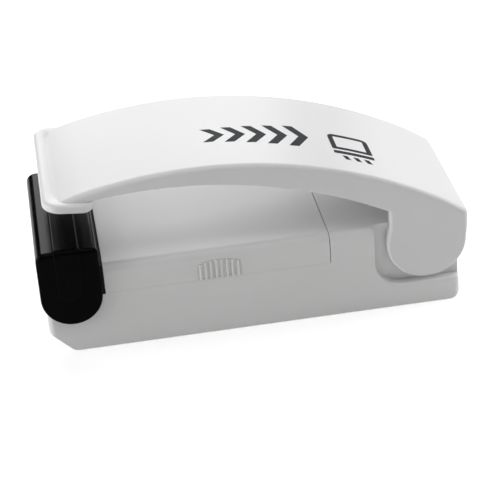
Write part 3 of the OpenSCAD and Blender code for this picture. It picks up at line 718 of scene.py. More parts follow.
def glass_cloth(name, rgb):
    """Coated woven glass cloth: a plain weave under a thin waxy film."""
    f = Finish(name)
    x, y, _ = f.coordinates()
    thread_pitch = 0.6 * MM
    turns = 2 * math.pi / thread_pitch
    weave = ((x * turns).sine() * (y * turns).sine()).ramp(-0.8, 0.8)
    stain = f.noise(420.0, detail=3.0, rough=0.6)
    dark = weave * 0.4 + stain.ramp(0.35, 0.75, 0.0, 0.5)
    return f.surface(base_color=f.mixed(dark, tone(rgb, 1.25), tone(rgb, 0.62)), coat_weight=0.2,
                     roughness=weave.ramp(0.0, 1.0, 0.34, 0.5), normal=f.bump(weave, 0.03))


def pressed_fibre(name, rgb):
    """Hard heat-proof moulding with flecks."""
    f = Finish(name)
    flecks = f.noise(1500.0, detail=4.0, rough=0.7, stretch=(1.0, 0.25, 1.0))
    shade = f.mixed(flecks.ramp(0.45, 0.7), tone(rgb), tone(rgb, 0.7))
    return f.surface(base_color=shade, roughness=flecks.ramp(0.3, 0.7, 0.6, 0.78),
                     normal=f.bump(flecks, 0.02))


def printed_ink(name, rgb):
    """Screen-printed ink with a slightly uneven gloss."""
    f = Finish(name)
    grain = f.noise(1800.0, detail=3.0, rough=0.6)
    shade = f.mixed(grain.ramp(0.4, 0.8), tone(rgb), tone(rgb, 1.9))
    return f.surface(base_color=shade, roughness=grain.ramp(0.3, 0.7, 0.45, 0.6),
                     specular_ior_level=0.12, normal=f.bump(grain, 0.003))


def cell_film(name, rgb, button_low):
    """Film jacket that ends short of both metal ends of a cell, with a band of its own colour."""
    f = Finish(name)
    low, high = extent("cell_near" if button_low else "cell_far")
    x, _, _ = f.coordinates()
    from_button = (x - (low.x + NOSE) * MM) if button_low else ((high.x + NOSE) * MM - x)
    # In millimetres from the button's face, with the width of each border
    film_start, film_end, band_end, blur = 1.6, 49.9, 11.8, 0.1

    def past(place, before, after):
        """One value before a place along the cell, in millimetres, and another after it."""
        return from_button.ramp(place * MM, (place + blur) * MM, before, after)

    steel = past(film_start, 1.0, 0.0) + past(film_end, 0.0, 1.0)
    band_colour, scuff_colour, steel_colour = (0.45, 0.3, 0.1), (0.5, 0.5, 0.5), (0.7, 0.7, 0.72)
    scuff = f.noise(500.0, detail=4.0, rough=0.7, stretch=(0.3, 1.0, 1.0))
    film = f.mixed(past(band_end, 1.0, 0.0), tone(rgb), tone(band_colour))
    worn = f.mixed(scuff.ramp(0.6, 0.8, 0.0, 0.25), film, tone(scuff_colour))
    return f.surface(base_color=f.mixed(steel, worn, tone(steel_colour)), metallic=steel,
                     roughness=scuff.ramp(0.3, 0.7, 0.24, 0.36), normal=f.bump(scuff, 0.006))


# Each finish by its name: the function that makes it, its colour, and the function's other values
FINISHES = {
    "body_white": (moulded_plastic, "base", {"roughness": 0.42}),
    "arm_white": (moulded_plastic, "arm", {"roughness": 0.36, "mottle": 0.012}),
    "guard_black": (polished_black, "guard", {}),
    "head_black": (moulded_plastic, "head",
                   {"roughness": 0.62, "mottle": 0.15, "specular": 0.12, "grain": 0.016}),
    "heater_bar": (pressed_fibre, "bar", {}),
    "heater_metal": (metal, "strip", {"roughness": 0.36, "brushed": (8.0, 0.3, 8.0)}),
    "tape_tan": (glass_cloth, "tape", {}),
    "contact_brass": (metal, "brass", {"roughness": 0.3, "brushed": (0.3, 6.0, 6.0)}),
    "spring_steel": (metal, "wire", {"roughness": 0.28, "brushed": (2.0, 2.0, 2.0)}),
    "zinc_steel": (metal, "zinc", {"roughness": 0.34, "brushed": (1.0, 1.0, 1.0)}),
    "pad_silicone": (soft_rubber, "pad", {}),
    "ink": (printed_ink, "ink", {}),
}
MADE = {}


def material(name):
    """A finish by its name, made once."""
    if name not in MADE:
        maker, colour_name, values = FINISHES[name]
        MADE[name] = maker(name, colour_of(colour_name), **values)
    return MADE[name]


# Operators

class SealerOperator:
    """What the operators share"""
    bl_options = {"REGISTER", "UNDO"}


def body_section():
    """Outline of the base and of its cover, seen along the object."""
    r = Sizes("sealer_base").top_round
    high = BASE_HIGH.z - SKIN
    return rounded([(-SIDE_Y, -FAR_OFF, 0), (SIDE_Y, -FAR_OFF, 0), (SIDE_Y, high, r),
                    (-SIDE_Y, high, r)], steps=12)


class OBJECT_OT_sealer_base(SealerOperator, bpy.types.Operator):
    """Builds the base, with its pockets for the arm's ears"""
    bl_idname = "object.sealer_base"
    bl_label = "Base"

    def execute(self, context):
        s = Sizes("sealer_base")
        left, right = BASE_LOW.x + SKIN, BASE_HIGH.x - SKIN
        low, high = BASE_LOW.z, BASE_HIGH.z - SKIN
        side = rounded([(left, FAR_OFF, 0), (left, s.nose_slope, s.nose_round),
                        (s.nose_slope, low, s.nose_round), (right, low, s.rear_round),
                        (right, FAR_OFF, 0)])
        form = softened(across(side, -SIDE_Y, SIDE_Y), at_ends(SIDE_Y, s.foot_edge), segments=3)
        form = shared(form, along(body_section(), left - LAP, right + LAP))
        plan = rectangle(left, right, -SIDE_Y, SIDE_Y, s.corner_round, steps=8)
        form = shared(form, upright(plan, low - LAP, high + LAP))
        front = HINGE_X - EAR_R - s.pocket_gap - SKIN
        under = HINGE_Z - EAR_R - s.pocket_under - SKIN
        pocket = rounded([(front, FAR_OFF, 0), (front, under, s.pocket_round),
                          (FAR_OFF, under, 0), (FAR_OFF, FAR_OFF, 0)], steps=14)
        inner_y = HALF_W - s.pocket_depth - SKIN
        form = carved(form, mirrored(across(pocket, inner_y, FAR_OFF)))
        form = shared(form, cad_copy("base_housing"))

        def rim_edge(spot):
            outside = abs(spot.y) > HALF_W - NEAR or spot.z > high - NEAR
            on_seam = abs(spot.z - COVER_LOW.z) < NEAR or abs(spot.x - COVER_HIGH.x) < 2 * NEAR
            if outside and on_seam:
                return s.seam_edge
            if abs(spot.y) > inner_y + NEAR and spot.x > front - NEAR and spot.z > under - NEAR:
                return s.rim_edge
            return 0

        form = softened(form, rim_edge, segments=3)
        finished(form, "base_shell", "base", "body_white", ["base_housing"])
        return {"FINISHED"}


class OBJECT_OT_sealer_cover(SealerOperator, bpy.types.Operator):
    """Builds the battery cover with its grip ribs"""
    bl_idname = "object.sealer_cover"
    bl_label = "Battery cover"

    def execute(self, context):
        s, b = Sizes("sealer_cover"), Sizes("sealer_base")
        front = COVER_LOW.x - s.front_reach
        solid = cad_copy("battery_cover")
        lip = across(rectangle(front, COVER_LOW.x + LAP, COVER_LOW.z, BASE_HIGH.z), -HALF_W, HALF_W)
        skirt = across(rectangle(front, COVER_HIGH.x, COVER_LOW.z - s.seam_reach, COVER_LOW.z + LAP),
                       HALF_W - LAP, HALF_W)
        form = shared(along(body_section(), front + HAIR, COVER_HIGH.x - HAIR),
                      joined(solid, lip, mirrored(skirt)))
        room = s.plate_room
        for plate in ("switch_plate_near", "switch_plate_far"):
            low, high = extent(plate)
            form = carved(form, across(rectangle(low.x - room, high.x + room, low.z - room, high.z + room),
                                       low.y - room, high.y + room))

        def rear_seam(spot):
            outside = abs(spot.y) > HALF_W - NEAR or spot.z > BASE_HIGH.z - b.top_round - NEAR
            return b.seam_edge if outside and abs(spot.x - COVER_HIGH.x) < NEAR else 0

        form = softened(self.with_grip(form), rear_seam, segments=3)
        finished(form, "battery_cover_shell", "cover", "body_white", ["battery_cover"])
        return {"FINISHED"}

    def with_grip(self, form):
        """Cuts a shallow arched field into both sides, with upright half-round ribs in it."""
        s = Sizes("sealer_cover")
        ribs = bpy.context.scene.sealer_cover.rib_count
        middle = COVER_LOW.x + s.rib_from_front
        last = (ribs - 1) / 2
        low = COVER_LOW.z + s.rib_foot
        r = s.rib_width / 2
        # Depth of a rib's root in the wall, its tip's distance from the field's edge, and the number of
        # points on half of that edge
        root, tip_gap, half_count = 0.6, 0.1, 8

        def top_at(out):
            """Height of the field's arched top, at a place counted in ribs from the middle."""
            return COVER_LOW.z + s.rib_height - s.rib_arch * out * out

        edge = last + s.field_margin / s.rib_pitch
        spots = [edge * (1 - i / half_count) for i in range(2 * half_count + 1)]
        field = ([(middle - edge * s.rib_pitch, low), (middle + edge * s.rib_pitch, low)]
                 + [(middle + out * s.rib_pitch, top_at(out)) for out in spots])
        form = carved(form, mirrored(across(field, SIDE_Y - s.field_depth, FAR_OFF)))
        for i in range(ribs):
            out = i - last
            x = middle + out * s.rib_pitch
            outline = arc(x, SIDE_Y, r, 0, 180, 15) + [(x - r, SIDE_Y - root), (x + r, SIDE_Y - root)]
            form = joined(form, mirrored(upright(outline, low - HAIR, top_at(out) - tip_gap)))
        return form


def crown_circle():
    """Centre and radius of the arm's arched top."""
    s = Sizes("sealer_arm")
    radius = ((ARM_HIGH.x - s.crown_x) ** 2 + s.rear_drop ** 2) / (2 * s.rear_drop)
    return s.crown_x, ARM_HIGH.z - SKIN - radius, radius


def foot_underside():
    """Height of the foot's underside when the arm is pressed and the foot lies flat."""
    return GUARD_HIGH.z + Sizes("sealer_foot").stop_gap


def at_rest():
    """Turn about the arm's hinge that takes a shape from the pressed arm to the arm at rest."""
    s = Sizes("sealer_foot")
    pressed = foot_underside() - HINGE_Z
    rest = GUARD_HIGH.z + s.jaw_open - HINGE_Z
    reach = math.hypot(HINGE_X - PIVOT_X, pressed)
    hinge = Matrix.Translation((HINGE_X, 0, HINGE_Z))
    swing = Matrix.Rotation(math.asin(rest / reach) - math.asin(pressed / reach), 4, "Y")
    return hinge @ swing @ hinge.inverted()


def valley_skin():
    """Material that stays between the foot's valley and the seat of the pad below it."""
    s = Sizes("sealer_foot")
    return across([(s.skin_front, s.skin_front_z), (s.skin_rear, s.skin_rear_z),
                   (s.skin_rear, ARM_HIGH.z), (s.skin_front, ARM_HIGH.z)], -s.skin_y, s.skin_y)


def smooth_step(t):
    """Rises softly from 0 to 1 while t goes from 0 to 1, and stays level outside that."""
    t = min(1.0, max(0.0, t))
    return t * t * (3 - 2 * t)


def divided(bm, spot, normal):
    """Draws a line of edges round a shape where a plane meets it."""
    bmesh.ops.bisect_plane(bm, geom=everything(bm), plane_co=spot, plane_no=normal)


class OBJECT_OT_sealer_arm(SealerOperator, bpy.types.Operator):
    """Builds the arched press arm with its ears and its foot"""
    bl_idname = "object.sealer_arm"
    bl_label = "Press arm"

    def execute(self, context):
        form = joined(self.arch(), self.foot())
        form = shared(form, joined(cad_copy("press_arm"), valley_skin()))
        finished(form, "press_arm_shell", "arm", "arm_white", ["press_arm"])
        return {"FINISHED"}

    def arch(self):
        """The arm without its foot, as one solid."""
        s = Sizes("sealer_arm")
        top = across(self.top_outline(), -SIDE_Y, SIDE_Y)
        sides = across(self.side_outline(), -SIDE_Y, SIDE_Y)
        return shared(softened(top, at_ends(SIDE_Y, s.top_edge), segments=6),
                      softened(sides, at_ends(SIDE_Y, s.side_edge), segments=4))

    def top_outline(self):
        """Ramp, crown and rear, closed far below."""
        s = Sizes("sealer_arm")
        cx, cz, r = crown_circle()
        crown = crest((cx, cz, r), s.ramp_end, s.rear_line_x)
        rear_z = cz + math.sqrt(r ** 2 - (REAR_X - cx) ** 2) - s.rear_line_drop
        valley_rise = math.tan(at_rest().to_euler().y) * (s.ramp_x - s.front_x)
        closing = rounded([crown[-1] + (0,), (REAR_X, rear_z, s.rear_round), (REAR_X, -FAR_OFF, 0),
                           (s.front_x, -FAR_OFF, 0), (s.front_x, s.ramp_z + valley_rise, 0),
                           (s.ramp_x, s.ramp_z, s.ramp_round), crown[0] + (0,)], steps=7)
        return crown[1:-1] + closing

    def side_outline(self):
        """Ear, neck, arched lower edge and rear line, closed far above."""
        s = Sizes("sealer_arm")
        neck = s.neck_x + SKIN
        ear_r = EAR_R - SKIN
        notch = math.degrees(math.acos((HINGE_X - neck) / ear_r))
        ear = arc(HINGE_X, HINGE_Z, ear_r, 0, notch - 180 - 2 * notch)
        drop = s.skirt_crown_z - s.neck_z
        radius = ((s.neck_x - s.skirt_crown_x) ** 2 + drop ** 2) / (2 * drop)
        # Room in front of the neck for its rounded corner
        corner_room = 1.5
        skirt = crest((s.skirt_crown_x, s.skirt_crown_z + SKIN - radius, radius),
                      s.neck_x - corner_room, s.skirt_front)
        corner = rounded([ear[-1] + (0,), (neck, s.neck_z + SKIN, s.neck_round), skirt[0] + (0,)], steps=5)
        return (ear + corner[1:-1] + skirt
                + [(s.skirt_front, s.hidden_z), (s.front_x, s.hidden_z), (s.front_x, FAR_OFF),
                   (REAR_X, FAR_OFF), (REAR_X, s.rear_turn_z)])

    def foot(self):
        """The foot, drawn pressed flat and then turned up to rest."""
        s = Sizes("sealer_foot")
        x0 = PIVOT_X - s.foot_length / 2 + SKIN
        x1 = x0 + s.foot_length - 2 * SKIN
        y = ARM_HIGH.y - SKIN
        low = foot_underside() + SKIN
        high = low + s.thickness - 2 * SKIN
        plan = rounded([(x0, -y, s.front_round), (x1, -y, s.rear_round), (x1, y, s.rear_round),
                        (x0, y, s.front_round)], steps=10)

        def rim(spot):
            if spot.z > high - NEAR:
                return s.top_edge
            return s.low_edge if spot.z < low + NEAR else 0

        form = softened(upright(plan, low, high), rim, segments=6)
        # Distances between the lines that the valley bends along, lengthwise and crosswise
        run_step, fade_step = 0.25, 0.5
        for i in range(1, int((s.valley_x + s.valley_run) / run_step)):
            divided(form, (x0 + i * run_step, 0, 0), (1, 0, 0))
        for i in range(int(s.valley_fade / fade_step) + 1):
            for side in (-1, 1):
                divided(form, (0, side * (s.valley_half + i * fade_step), 0), (0, 1, 0))
        for vert in form.verts:
            run = vert.co.x - x0
            dip = (smooth_step((run - s.crest_x) / (s.valley_x - s.crest_x))
                   - smooth_step((run - s.valley_x) / s.valley_run))
            dip *= 1 - smooth_step((abs(vert.co.y) - s.valley_half) / s.valley_fade)
            vert.co.z -= dip * s.valley_depth * (vert.co.z - low) / (high - low)
        bmesh.ops.transform(form, verts=form.verts, matrix=at_rest())
        return form


class OBJECT_OT_sealer_print(SealerOperator, bpy.types.Operator):
    """Prints a plain bag sign and a row of chevrons on the arm"""
    bl_idname = "object.sealer_print"
    bl_label = "Print"

    def execute(self, context):
        s = Sizes("sealer_print")
        count = context.scene.sealer_print.chevrons
        shapes = [self.chevron(s.first_x + i * s.chevron_pitch, s.chevron_height + i * s.chevron_growth)
                  for i in range(count)]
        ink = joined(self.bag(), *shapes)
        cx, cz, r = crown_circle()
        margin, sunk, step = 5.0, 4 * s.proud, 0.5
        front, rear = s.first_x - margin, s.bag_x + s.bag_width
        film = (crest((cx, cz, r + s.proud), front, rear, step)
                + crest((cx, cz, r - sunk), rear, front, step))
        ink = shared(ink, across(film, -HALF_W, HALF_W))
        finished(ink, "arm_print", "arm", "head_black", finish=material("ink"))
        return {"FINISHED"}

    def plate(self, outline):
        """A flat sign, as a solid that goes through the arm's top."""
        return upright(outline, HINGE_Z, ARM_HIGH.z + LAP)

    def chevron(self, x, height):
        s = Sizes("sealer_print")
        y, half, tip = -s.middle_y, height / 2, s.chevron_point
        ahead = x + s.chevron_width
        return self.plate([(x, y - half), (ahead, y - half), (ahead + tip, y),
                           (ahead, y + half), (x, y + half), (x + tip, y)])

    def bag(self):
        """Outline of a bag with its seam, and three heat marks over it."""
        s = Sizes("sealer_print")
        x, half = s.bag_x, s.bag_width / 2
        mouth, low = -s.middle_y - s.bag_height / 2, -s.middle_y + s.bag_height / 2
        line = s.bag_line
        outer_r, inner_r = 0.3, 0.2

        def pouch(inset, mouth_r):
            """The bag's body, smaller by an inset on every side."""
            left, right = x - half + inset, x + half - inset
            low_r = s.bag_round - inset
            return self.plate(rounded([(left, mouth + inset, mouth_r), (right, mouth + inset, mouth_r),
                                       (right, low - inset, low_r), (left, low - inset, low_r)]))

        seam = mouth - s.seam_gap
        marks = [self.plate(rectangle(x - half, x + half, seam - s.seam_width, seam, outer_r))]
        end = seam - s.seam_width - s.seam_gap
        tip = end - s.tick_length
        for i in (-1, 0, 1):
            mark_x = x + i * s.tick_pitch
            marks.append(self.plate([(mark_x - line / 2, end), (mark_x + line / 2, end),
                                     (mark_x + line, tip), (mark_x, tip)]))
        return joined(carved(pouch(0, outer_r), pouch(line, inner_r)), *marks)


class OBJECT_OT_sealer_guard(SealerOperator, bpy.types.Operator):
    """Builds the black guard with its raised band"""
    bl_idname = "object.sealer_guard"
    bl_label = "Guard"

    def execute(self, context):
        s = Sizes("sealer_guard")
        y, top = GUARD_HIGH.y - s.band_proud, GUARD_HIGH.z - s.band_proud
        inner_y = y - s.leg_wall
        front, rear = PIVOT_X - LEG_R, PIVOT_X + LEG_R
        side = (arc(PIVOT_X, PIVOT_Z, LEG_R, -180, 0)
                + rounded([(rear, PIVOT_Z, 0), (rear, top, s.rear_round),
                           (front, top, s.front_round), (front, PIVOT_Z, 0)], steps=7)[1:-1])

        def shell_edge(spot):
            if abs(spot.y) < y - NEAR:
                return 0
            return s.side_round if spot.z > top - s.front_round - NEAR else s.leg_edge

        shell = joined(softened(across(side, -y, y), shell_edge, segments=5), self.band())
        room = across(rectangle(front + s.wall, FAR_OFF, 0, top - s.wall), -inner_y, inner_y)
        below = across(rectangle(-FAR_OFF, FAR_OFF, 0, s.lip_z), -inner_y, inner_y)
        # Wall left outside each bore, the boss's play in it, and the radius of the inside edges
        bore_floor, play, inner_edge = 0.4, 0.05, 0.2
        bore = rod(PIVOT_X, PIVOT_Z, s.boss_r + play, bore_floor - y, y - bore_floor)
        shell = carved(shell, room, below, bore)

        def inside_edge(spot):
            at_rear = abs(spot.x - rear) < NEAR and abs(spot.y) < inner_y + NEAR
            return inner_edge if at_rear or abs(spot.z - s.lip_z) < NEAR else 0

        shell = softened(shell, inside_edge, segments=3)
        finished(shell, "guard_shell", "guard", "guard_black", ["guard"])
        return {"FINISHED"}

    def band(self):
        """The raised band across the roof and down both legs, as a solid block."""
        s = Sizes("sealer_guard")
        half, outer, top = s.band_width / 2, GUARD_HIGH.y, GUARD_HIGH.z
        # How much of its height the band adds to the shell's corner radius
        corner_gain = 0.3
        strip = (arc(PIVOT_X, PIVOT_Z + s.band_rise, half, -180, 0, 7.5)
                 + [(PIVOT_X + half, top), (PIVOT_X - half, top)])

        def corner(spot):
            at_corner = spot.z > top - NEAR and abs(spot.y) > outer - NEAR
            return s.side_round + corner_gain * s.band_proud if at_corner else 0

        band = softened(across(strip, -outer, outer), corner, segments=6)
        return softened(band, lambda spot: s.band_edge, segments=3, least_angle=40.0)


def body_of(node):
    """Name of the body that a CAD node belongs to."""
    bodies = frame["record"]["behaviour"]["bodies"]
    return next(body for body, nodes in bodies.items() if node in nodes)


def placed(spot):
    """A place in the frame, in metres, from one in millimetres with X from the nose."""
    return (spot + Vector((NOSE, 0, 0))) * MM


# Inner pieces taken from the CAD: their slot, and the radius of their edges in millimetres
INNER = {
    "head_frame": ("head_black", 0.18), "heater_block": ("heater_bar", 0.15),
    "heater_strip": ("heater_metal", 0.04), "release_tape": ("tape_tan", 0.03),
    "head_contact_near": ("contact_brass", 0.05), "head_contact_far": ("contact_brass", 0.05),
    "switch_plate_near": ("contact_brass", 0.06), "switch_plate_far": ("contact_brass", 0.06),
    "bridge_plate": ("contact_brass", 0.06), "pad_holder": ("head_black", 0.08),
    "bottom_plate": ("body_white", 0.2), "base_screws": ("zinc_steel", 0.12),
    "hinge_shaft": ("zinc_steel", 0.25),
}


class OBJECT_OT_sealer_inner(SealerOperator, bpy.types.Operator):
    """Builds the small inner pieces, with their edges softened"""
    bl_idname = "object.sealer_inner"
    bl_label = "Inner pieces"

    def execute(self, context):
        for node, (slot, edge) in INNER.items():
            form = cad_copy(node)
            if node == "pad_holder":
                form = carved(form, valley_skin())
            if node == "head_frame":
                form = self.head_rear(form)
            form = softened(form, lambda spot, r=edge: r, segments=2, least_angle=40.0)
            finished(form, node + "_piece", body_of(node), slot, [node])
        return {"FINISHED"}

    def head_rear(self, form):
        """Closes the head's rear, behind the contact plates, and cuts it back for the cover."""
        _, plate_high = extent("switch_plate_far")
        # Room between the closed rear and its neighbours
        gap = 0.15
        y, z = HALF_W - gap, BASE_HIGH.z - gap
        inner_y, inner_z = plate_high.y + gap, plate_high.z + gap
        low = COVER_LOW.z
        rear = COVER_LOW.x - Sizes("sealer_cover").front_reach - gap / 2
        outline = [(-y, low), (-inner_y, low), (-inner_y, inner_z), (inner_y, inner_z),
                   (inner_y, low), (y, low), (y, z), (-y, z)]
        form = joined(form, along(outline, rear - LAP, rear))
        return carved(form, across(rectangle(rear, FAR_OFF, low, FAR_OFF), -FAR_OFF, FAR_OFF))


class OBJECT_OT_sealer_pad(SealerOperator, bpy.types.Operator):
    """Builds the soft pad in the foot"""
    bl_idname = "object.sealer_pad"
    bl_label = "Soft pad"

    def execute(self, context):
        s = Sizes("sealer_foot")
        low, high = foot_underside() - s.pad_proud, foot_underside() + s.pad_seat
        half_w, half_l = s.pad_width / 2, s.pad_length / 2
        # Radius at the pad's top, the part below it whose ends stay sharp, and how much of the gap over
        # the guard the pressed pad takes up
        top_round, top_part, gap_taken = 0.1, 1.0, 0.6
        front, rear = PIVOT_X - half_w, PIVOT_X + half_w
        section = rounded([(front, low, s.pad_round), (rear, low, s.pad_round),
                           (rear, high, top_round), (front, high, top_round)], steps=8)

        def lower_end(spot):
            return s.pad_end if abs(spot.y) > half_l - NEAR and spot.z < high - top_part else 0

        form = softened(across(section, -half_l, half_l), lower_end, segments=5)
        bmesh.ops.transform(form, verts=form.verts, matrix=at_rest())
        form = carved(form, valley_skin())
        pad = finished(form, "silicone_pad_strip", "arm", "pad_silicone", ["silicone_pad"])
        seat = at_rest() @ Vector((PIVOT_X, 0, high))
        room_pressed = s.pad_seat + s.stop_gap * gap_taken
        at_rest().to_3x3() @ Vector((0, 0, 1))
        room_pressed / (s.pad_seat + s.pad_proud)
        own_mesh(pad)
        return {"FINISHED"}


class OBJECT_OT_sealer_cells(SealerOperator, bpy.types.Operator):
    """Turns the two cells, each with a button end, a flat end and a film jacket"""
    bl_idname = "object.sealer_cells"
    bl_label = "Cells"

    def execute(self, context):
        for node, button_low in (("cell_near", True), ("cell_far", False)):
            low, high = extent(node)
            profile = self.profile(high.x - low.x, (high.z - low.z) / 2)
            if button_low:
                spots = [(low.x + x, r) for x, r in profile]
            else:
                spots = [(high.x - x, r) for x, r in profile]
            centre = Vector((0, (low.y + high.y) / 2, (low.z + high.z) / 2))
            film = cell_film(node + "_film", colour_of("jacket"), button_low)
            finished(turned(spots, centre), node + "_piece", "base", "cell_jacket", [node], film)
        return {"FINISHED"}

    def profile(self, end, radius):
        """Half of a cell's outline as (distance from the button's face, radius), from axis to axis."""
        s = Sizes("sealer_cells")
        can, edge = s.button_height, s.button_edge
        mouth = radius - s.film_lap
        # Run of the dish's outer slope, step and slope of the film's edge, and the inner edge and slope
        # of the dish at the flat end
        dish_run, lip, lip_run, plate_edge, plate_run = 0.4, 0.05, 0.1, 1.0, 0.3
        cut = edge * 0.3
        profile = [(0, 0), (0, s.button_radius - edge), (cut, s.button_radius - cut),
                   (edge, s.button_radius), (can + s.dish, s.button_radius),
                   (can + s.dish, mouth - dish_run), (can + lip, mouth),
                   (can, mouth + lip_run), (can, radius - s.shoulder)]
        profile += arc(can + s.shoulder, radius - s.shoulder, s.shoulder, 180, 90, 15)[1:]
        profile += arc(end - s.shoulder, radius - s.shoulder, s.shoulder, 90, 0, 15)
        return profile + [(end, mouth + lip_run), (end - lip, mouth), (end - s.dish, mouth - dish_run),
                          (end - s.dish, mouth - plate_edge), (end, mouth - plate_edge - plate_run),
                          (end, 0)]


# Points in one turn of a coil
PER_TURN = 24


def coil(turns, r0, r1, height, wire_r, closed):
    """Path of a coil that stands on Z = 0, with a number of turns wound close at each end."""
    path = []
    for i in range(turns * PER_TURN + 1):
        turn = i / PER_TURN
        close = min(turn, closed) + max(0.0, turn - turns + closed)
        share = min(1.0, max(0.0, (turn - closed) / (turns - 2 * closed)))
        z = wire_r * (1 + 2 * close) + share * (height - 2 * wire_r * (1 + 2 * closed))
        r = r0 + (r1 - r0) * turn / turns - wire_r
        angle = 2 * math.pi * turn
        path.append(Vector((r * math.cos(angle), r * math.sin(angle), z)))
    return path


def cut_corners(path):
    """A path with its corners cut three times over, which rounds them. Its ends stay."""
    for _ in range(3):
        inner = [a.lerp(b, t) for a, b in zip(path, path[1:]) for t in (0.25, 0.75)]
        path = [path[0]] + inner[1:-1] + [path[-1]]
    return path


class OBJECT_OT_sealer_springs(SealerOperator, bpy.types.Operator):
    """Winds the springs of the heater, of the cells and of the arm"""
    bl_idname = "object.sealer_springs"
    bl_label = "Springs"

    def execute(self, context):
        s = Sizes("sealer_springs")
        travel = limit_of("heater_float")
        for node in ("heater_spring_near", "heater_spring_far"):
            low, high = extent(node)
            height = high.z - low.z
            turns = context.scene.sealer_springs.heater_turns
            path = coil(turns, s.heater_radius, s.heater_radius, height, s.heater_wire, closed=1.0)
            foot = Vector(((low.x + high.x) / 2, (low.y + high.y) / 2, low.z))
            obj = self.wound([spot + foot for spot in path], s.heater_wire, node)
            1 - travel / height
            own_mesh(obj)
        for node, side in (("cell_spring_front", 1), ("cell_spring_rear", -1)):
            low, high = extent(node)
            path = coil(3, s.cell_radius, s.cell_tip, high.x - low.x, s.cell_wire, closed=0.5)
            near = low.x if side > 0 else high.x
            cell_low, cell_high = extent("cell_far" if side > 0 else "cell_near")
            centre = (cell_low + cell_high) / 2
            self.wound([Vector((near + side * spot.z, centre.y + spot.y, centre.z - side * spot.x))
                        for spot in path], s.cell_wire, node)
        self.return_spring()
        return {"FINISHED"}

    def wound(self, path, wire_r, node):
        return finished(swept(path, wire_r), node + "_piece", "base", "spring_steel", [node])

    def return_spring(self):
        """Coil round the hinge shaft: one leg on the bottom plate, one under the arm."""
        s = Sizes("sealer_springs")
        low, high = extent("return_spring")
        wire = s.return_wire
        width = high.y - low.y - 2 * wire
        steps = round(width / s.return_pitch * PER_TURN)
        hinge = Vector((HINGE_X, 0, HINGE_Z))

        def round_shaft(i):
            angle = 2 * math.pi * i / PER_TURN
            return hinge + Vector((s.return_radius * math.sin(angle), i * width / steps - width / 2,
                                   -s.return_radius * math.cos(angle)))

        wound = [round_shaft(i) for i in range(steps + 1)]
        start, end = wound[0], wound[-1]
        back = Vector((-s.leg_start, 0, 0))
        tip_inset, tip_rise = 1.4 * wire, 1.3 * wire
        tip_x = low.x + tip_inset
        low_leg = [Vector((tip_x, start.y, low.z + tip_rise)), start + back, start]
        high_leg = [end, end + back, Vector((tip_x, end.y, high.z - tip_rise))]
        path = cut_corners(low_leg)[:-1] + wound + cut_corners(high_leg)[1:]
        obj = self.wound(path, wire, "return_spring")
        sink = (HINGE_X - tip_x) * math.sin(limit_of("arm_press"))
        placed(Vector((HINGE_X, 0, low.z)))
        1 - sink / (high.z - low.z)
        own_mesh(obj)


# The sky gives no light. The floor has its paint, and a glow for camera, glossy and transmission rays only.
SKY = 0.0
FLOOR_PAINT = 0.9
FLOOR_GLOW = 0.45
FLOOR_HALF = 6.0
# Soft lamps: name, place in metres, side of the square in metres, and power in watts
LAMPS = [
    ("top", (0.0, 0.0, 0.65), 0.6, 1.1),
    ("top front", (0.0, -0.35, 0.55), 0.5, 0.56),
    ("left", (-0.65, 0.0, 0.3), 0.45, 1.6),
    ("right", (0.65, 0.0, 0.3), 0.45, 2.0),
    ("rear", (0.0, 0.65, 0.25), 0.45, 1.85),
    ("rear right", (0.45, 0.45, 0.3), 0.45, 1.4),
    ("left low", (-0.62, -0.15, 0.12), 0.3, 1.05),
]
AIM = Vector((0.0, 0.0, 0.02))


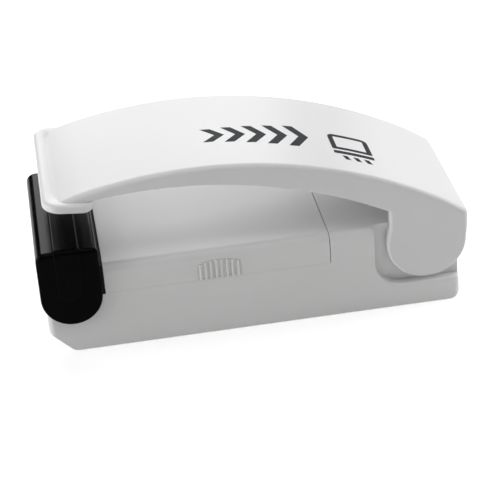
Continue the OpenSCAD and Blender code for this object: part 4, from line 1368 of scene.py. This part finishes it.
class OBJECT_OT_sealer_stage(SealerOperator, bpy.types.Operator):
    """Adds the camera, the floor and the studio light"""
    bl_idname = "object.sealer_stage"
    bl_label = "Stage"

    def execute(self, context):
        scene = context.scene
        scene.view_settings.view_transform = "Standard"
        self.camera(scene)
        self.floor(scene)
        world = bpy.data.worlds.new("studio")
        world.use_nodes = True
        world.node_tree.nodes["Background"].inputs["Strength"].default_value = SKY
        scene.world = world
        for name, place, side, power in LAMPS:
            data = bpy.data.lights.new(name, "AREA")
            data.shape, data.size, data.energy = "SQUARE", side, power
            lamp = bpy.data.objects.new(name, data)
            lamp.location = place
            lamp.rotation_mode = "QUATERNION"
            lamp.rotation_quaternion = (AIM - Vector(place)).to_track_quat("-Z", "Y")
            scene.collection.objects.link(lamp)
        return {"FINISHED"}

    def camera(self, scene):
        """Puts the camera where its view matches the photograph."""
        s = scene.sealer_stage
        cam = bpy.data.objects.new("camera", bpy.data.cameras.new("camera"))
        scene.collection.objects.link(cam)
        scene.camera = cam
        cam.data.sensor_width = 36.0
        cam.data.lens = s.lens
        cam.data.clip_start = 0.01
        cam.data.clip_end = 20.0
        yaw, pitch, roll = s.camera_yaw, s.camera_pitch, s.camera_roll
        ahead = Vector((math.sin(yaw) * math.cos(pitch), math.cos(yaw) * math.cos(pitch), -math.sin(pitch)))
        right = Vector((math.cos(yaw), -math.sin(yaw), 0))
        up = right.cross(ahead)
        cam_right = right * math.cos(roll) + up * math.sin(roll)
        cam_up = up * math.cos(roll) - right * math.sin(roll)
        axes = Matrix((cam_right, cam_up, -ahead)).transposed()
        cam.matrix_world = Matrix.Translation(s.camera_place) @ axes.to_4x4()

    def floor(self, scene):
        """Lays a white floor with a faint glow of its own."""
        bm = bmesh.new()
        bmesh.ops.create_grid(bm, x_segments=1, y_segments=1, size=FLOOR_HALF)
        mesh = bpy.data.meshes.new("floor")
        bm.to_mesh(mesh)
        bm.free()
        floor = bpy.data.objects.new("floor", mesh)
        scene.collection.objects.link(floor)
        f = Finish("floor")
        rays = [f.node("ShaderNodeLightPath", {}, {}, "Is %s Ray" % kind)
                for kind in ("Camera", "Glossy", "Transmission")]
        glow = (rays[0] + rays[1] + rays[2]).least(1.0) * FLOOR_GLOW
        paint = f.node("ShaderNodeBsdfDiffuse", {}, {"Color": (FLOOR_PAINT, FLOOR_PAINT, FLOOR_PAINT, 1.0)})
        light = f.node("ShaderNodeEmission", {}, {"Color": (1, 1, 1, 1), "Strength": glow})
        f.node("ShaderNodeOutputMaterial", {},
               {"Surface": f.node("ShaderNodeAddShader", {}, {0: paint, 1: light})})
        floor.data.materials.append(f.material)


STEPS = [OBJECT_OT_sealer_stage, OBJECT_OT_sealer_base, OBJECT_OT_sealer_cover, OBJECT_OT_sealer_arm,
         OBJECT_OT_sealer_print, OBJECT_OT_sealer_guard, OBJECT_OT_sealer_inner,
         OBJECT_OT_sealer_pad, OBJECT_OT_sealer_cells, OBJECT_OT_sealer_springs]


class VIEW3D_PT_sealer(bpy.types.Panel):
    """Lists the sealer's sizes and the steps that build it"""
    bl_label = "Bag sealer"
    bl_idname = "VIEW3D_PT_sealer"
    bl_space_type = "VIEW_3D"
    bl_region_type = "UI"
    bl_category = "Bag sealer"

    def draw(self, context):
        for group in GROUPS:
            box = self.layout.box()
            box.label(text=group.replace("sealer_", "").title())
            for name in GROUPS[group].__annotations__:
                box.prop(getattr(context.scene, group), name)
        for step in STEPS:
            self.layout.operator(step.bl_idname)


CLASSES = [*GROUPS.values(), *STEPS, VIEW3D_PT_sealer]


def register():
    for made in CLASSES:
        bpy.utils.register_class(made)
    for name, group in GROUPS.items():
        setattr(bpy.types.Scene, name, bpy.props.PointerProperty(type=group))


def unregister():
    for name in GROUPS:
        delattr(bpy.types.Scene, name)
    for made in reversed(CLASSES):
        bpy.utils.unregister_class(made)


def main():
    register()
    for step in STEPS:
        group, name = step.bl_idname.split(".")
        getattr(getattr(bpy.ops, group), name)()


if __name__ == "__main__":
    main()
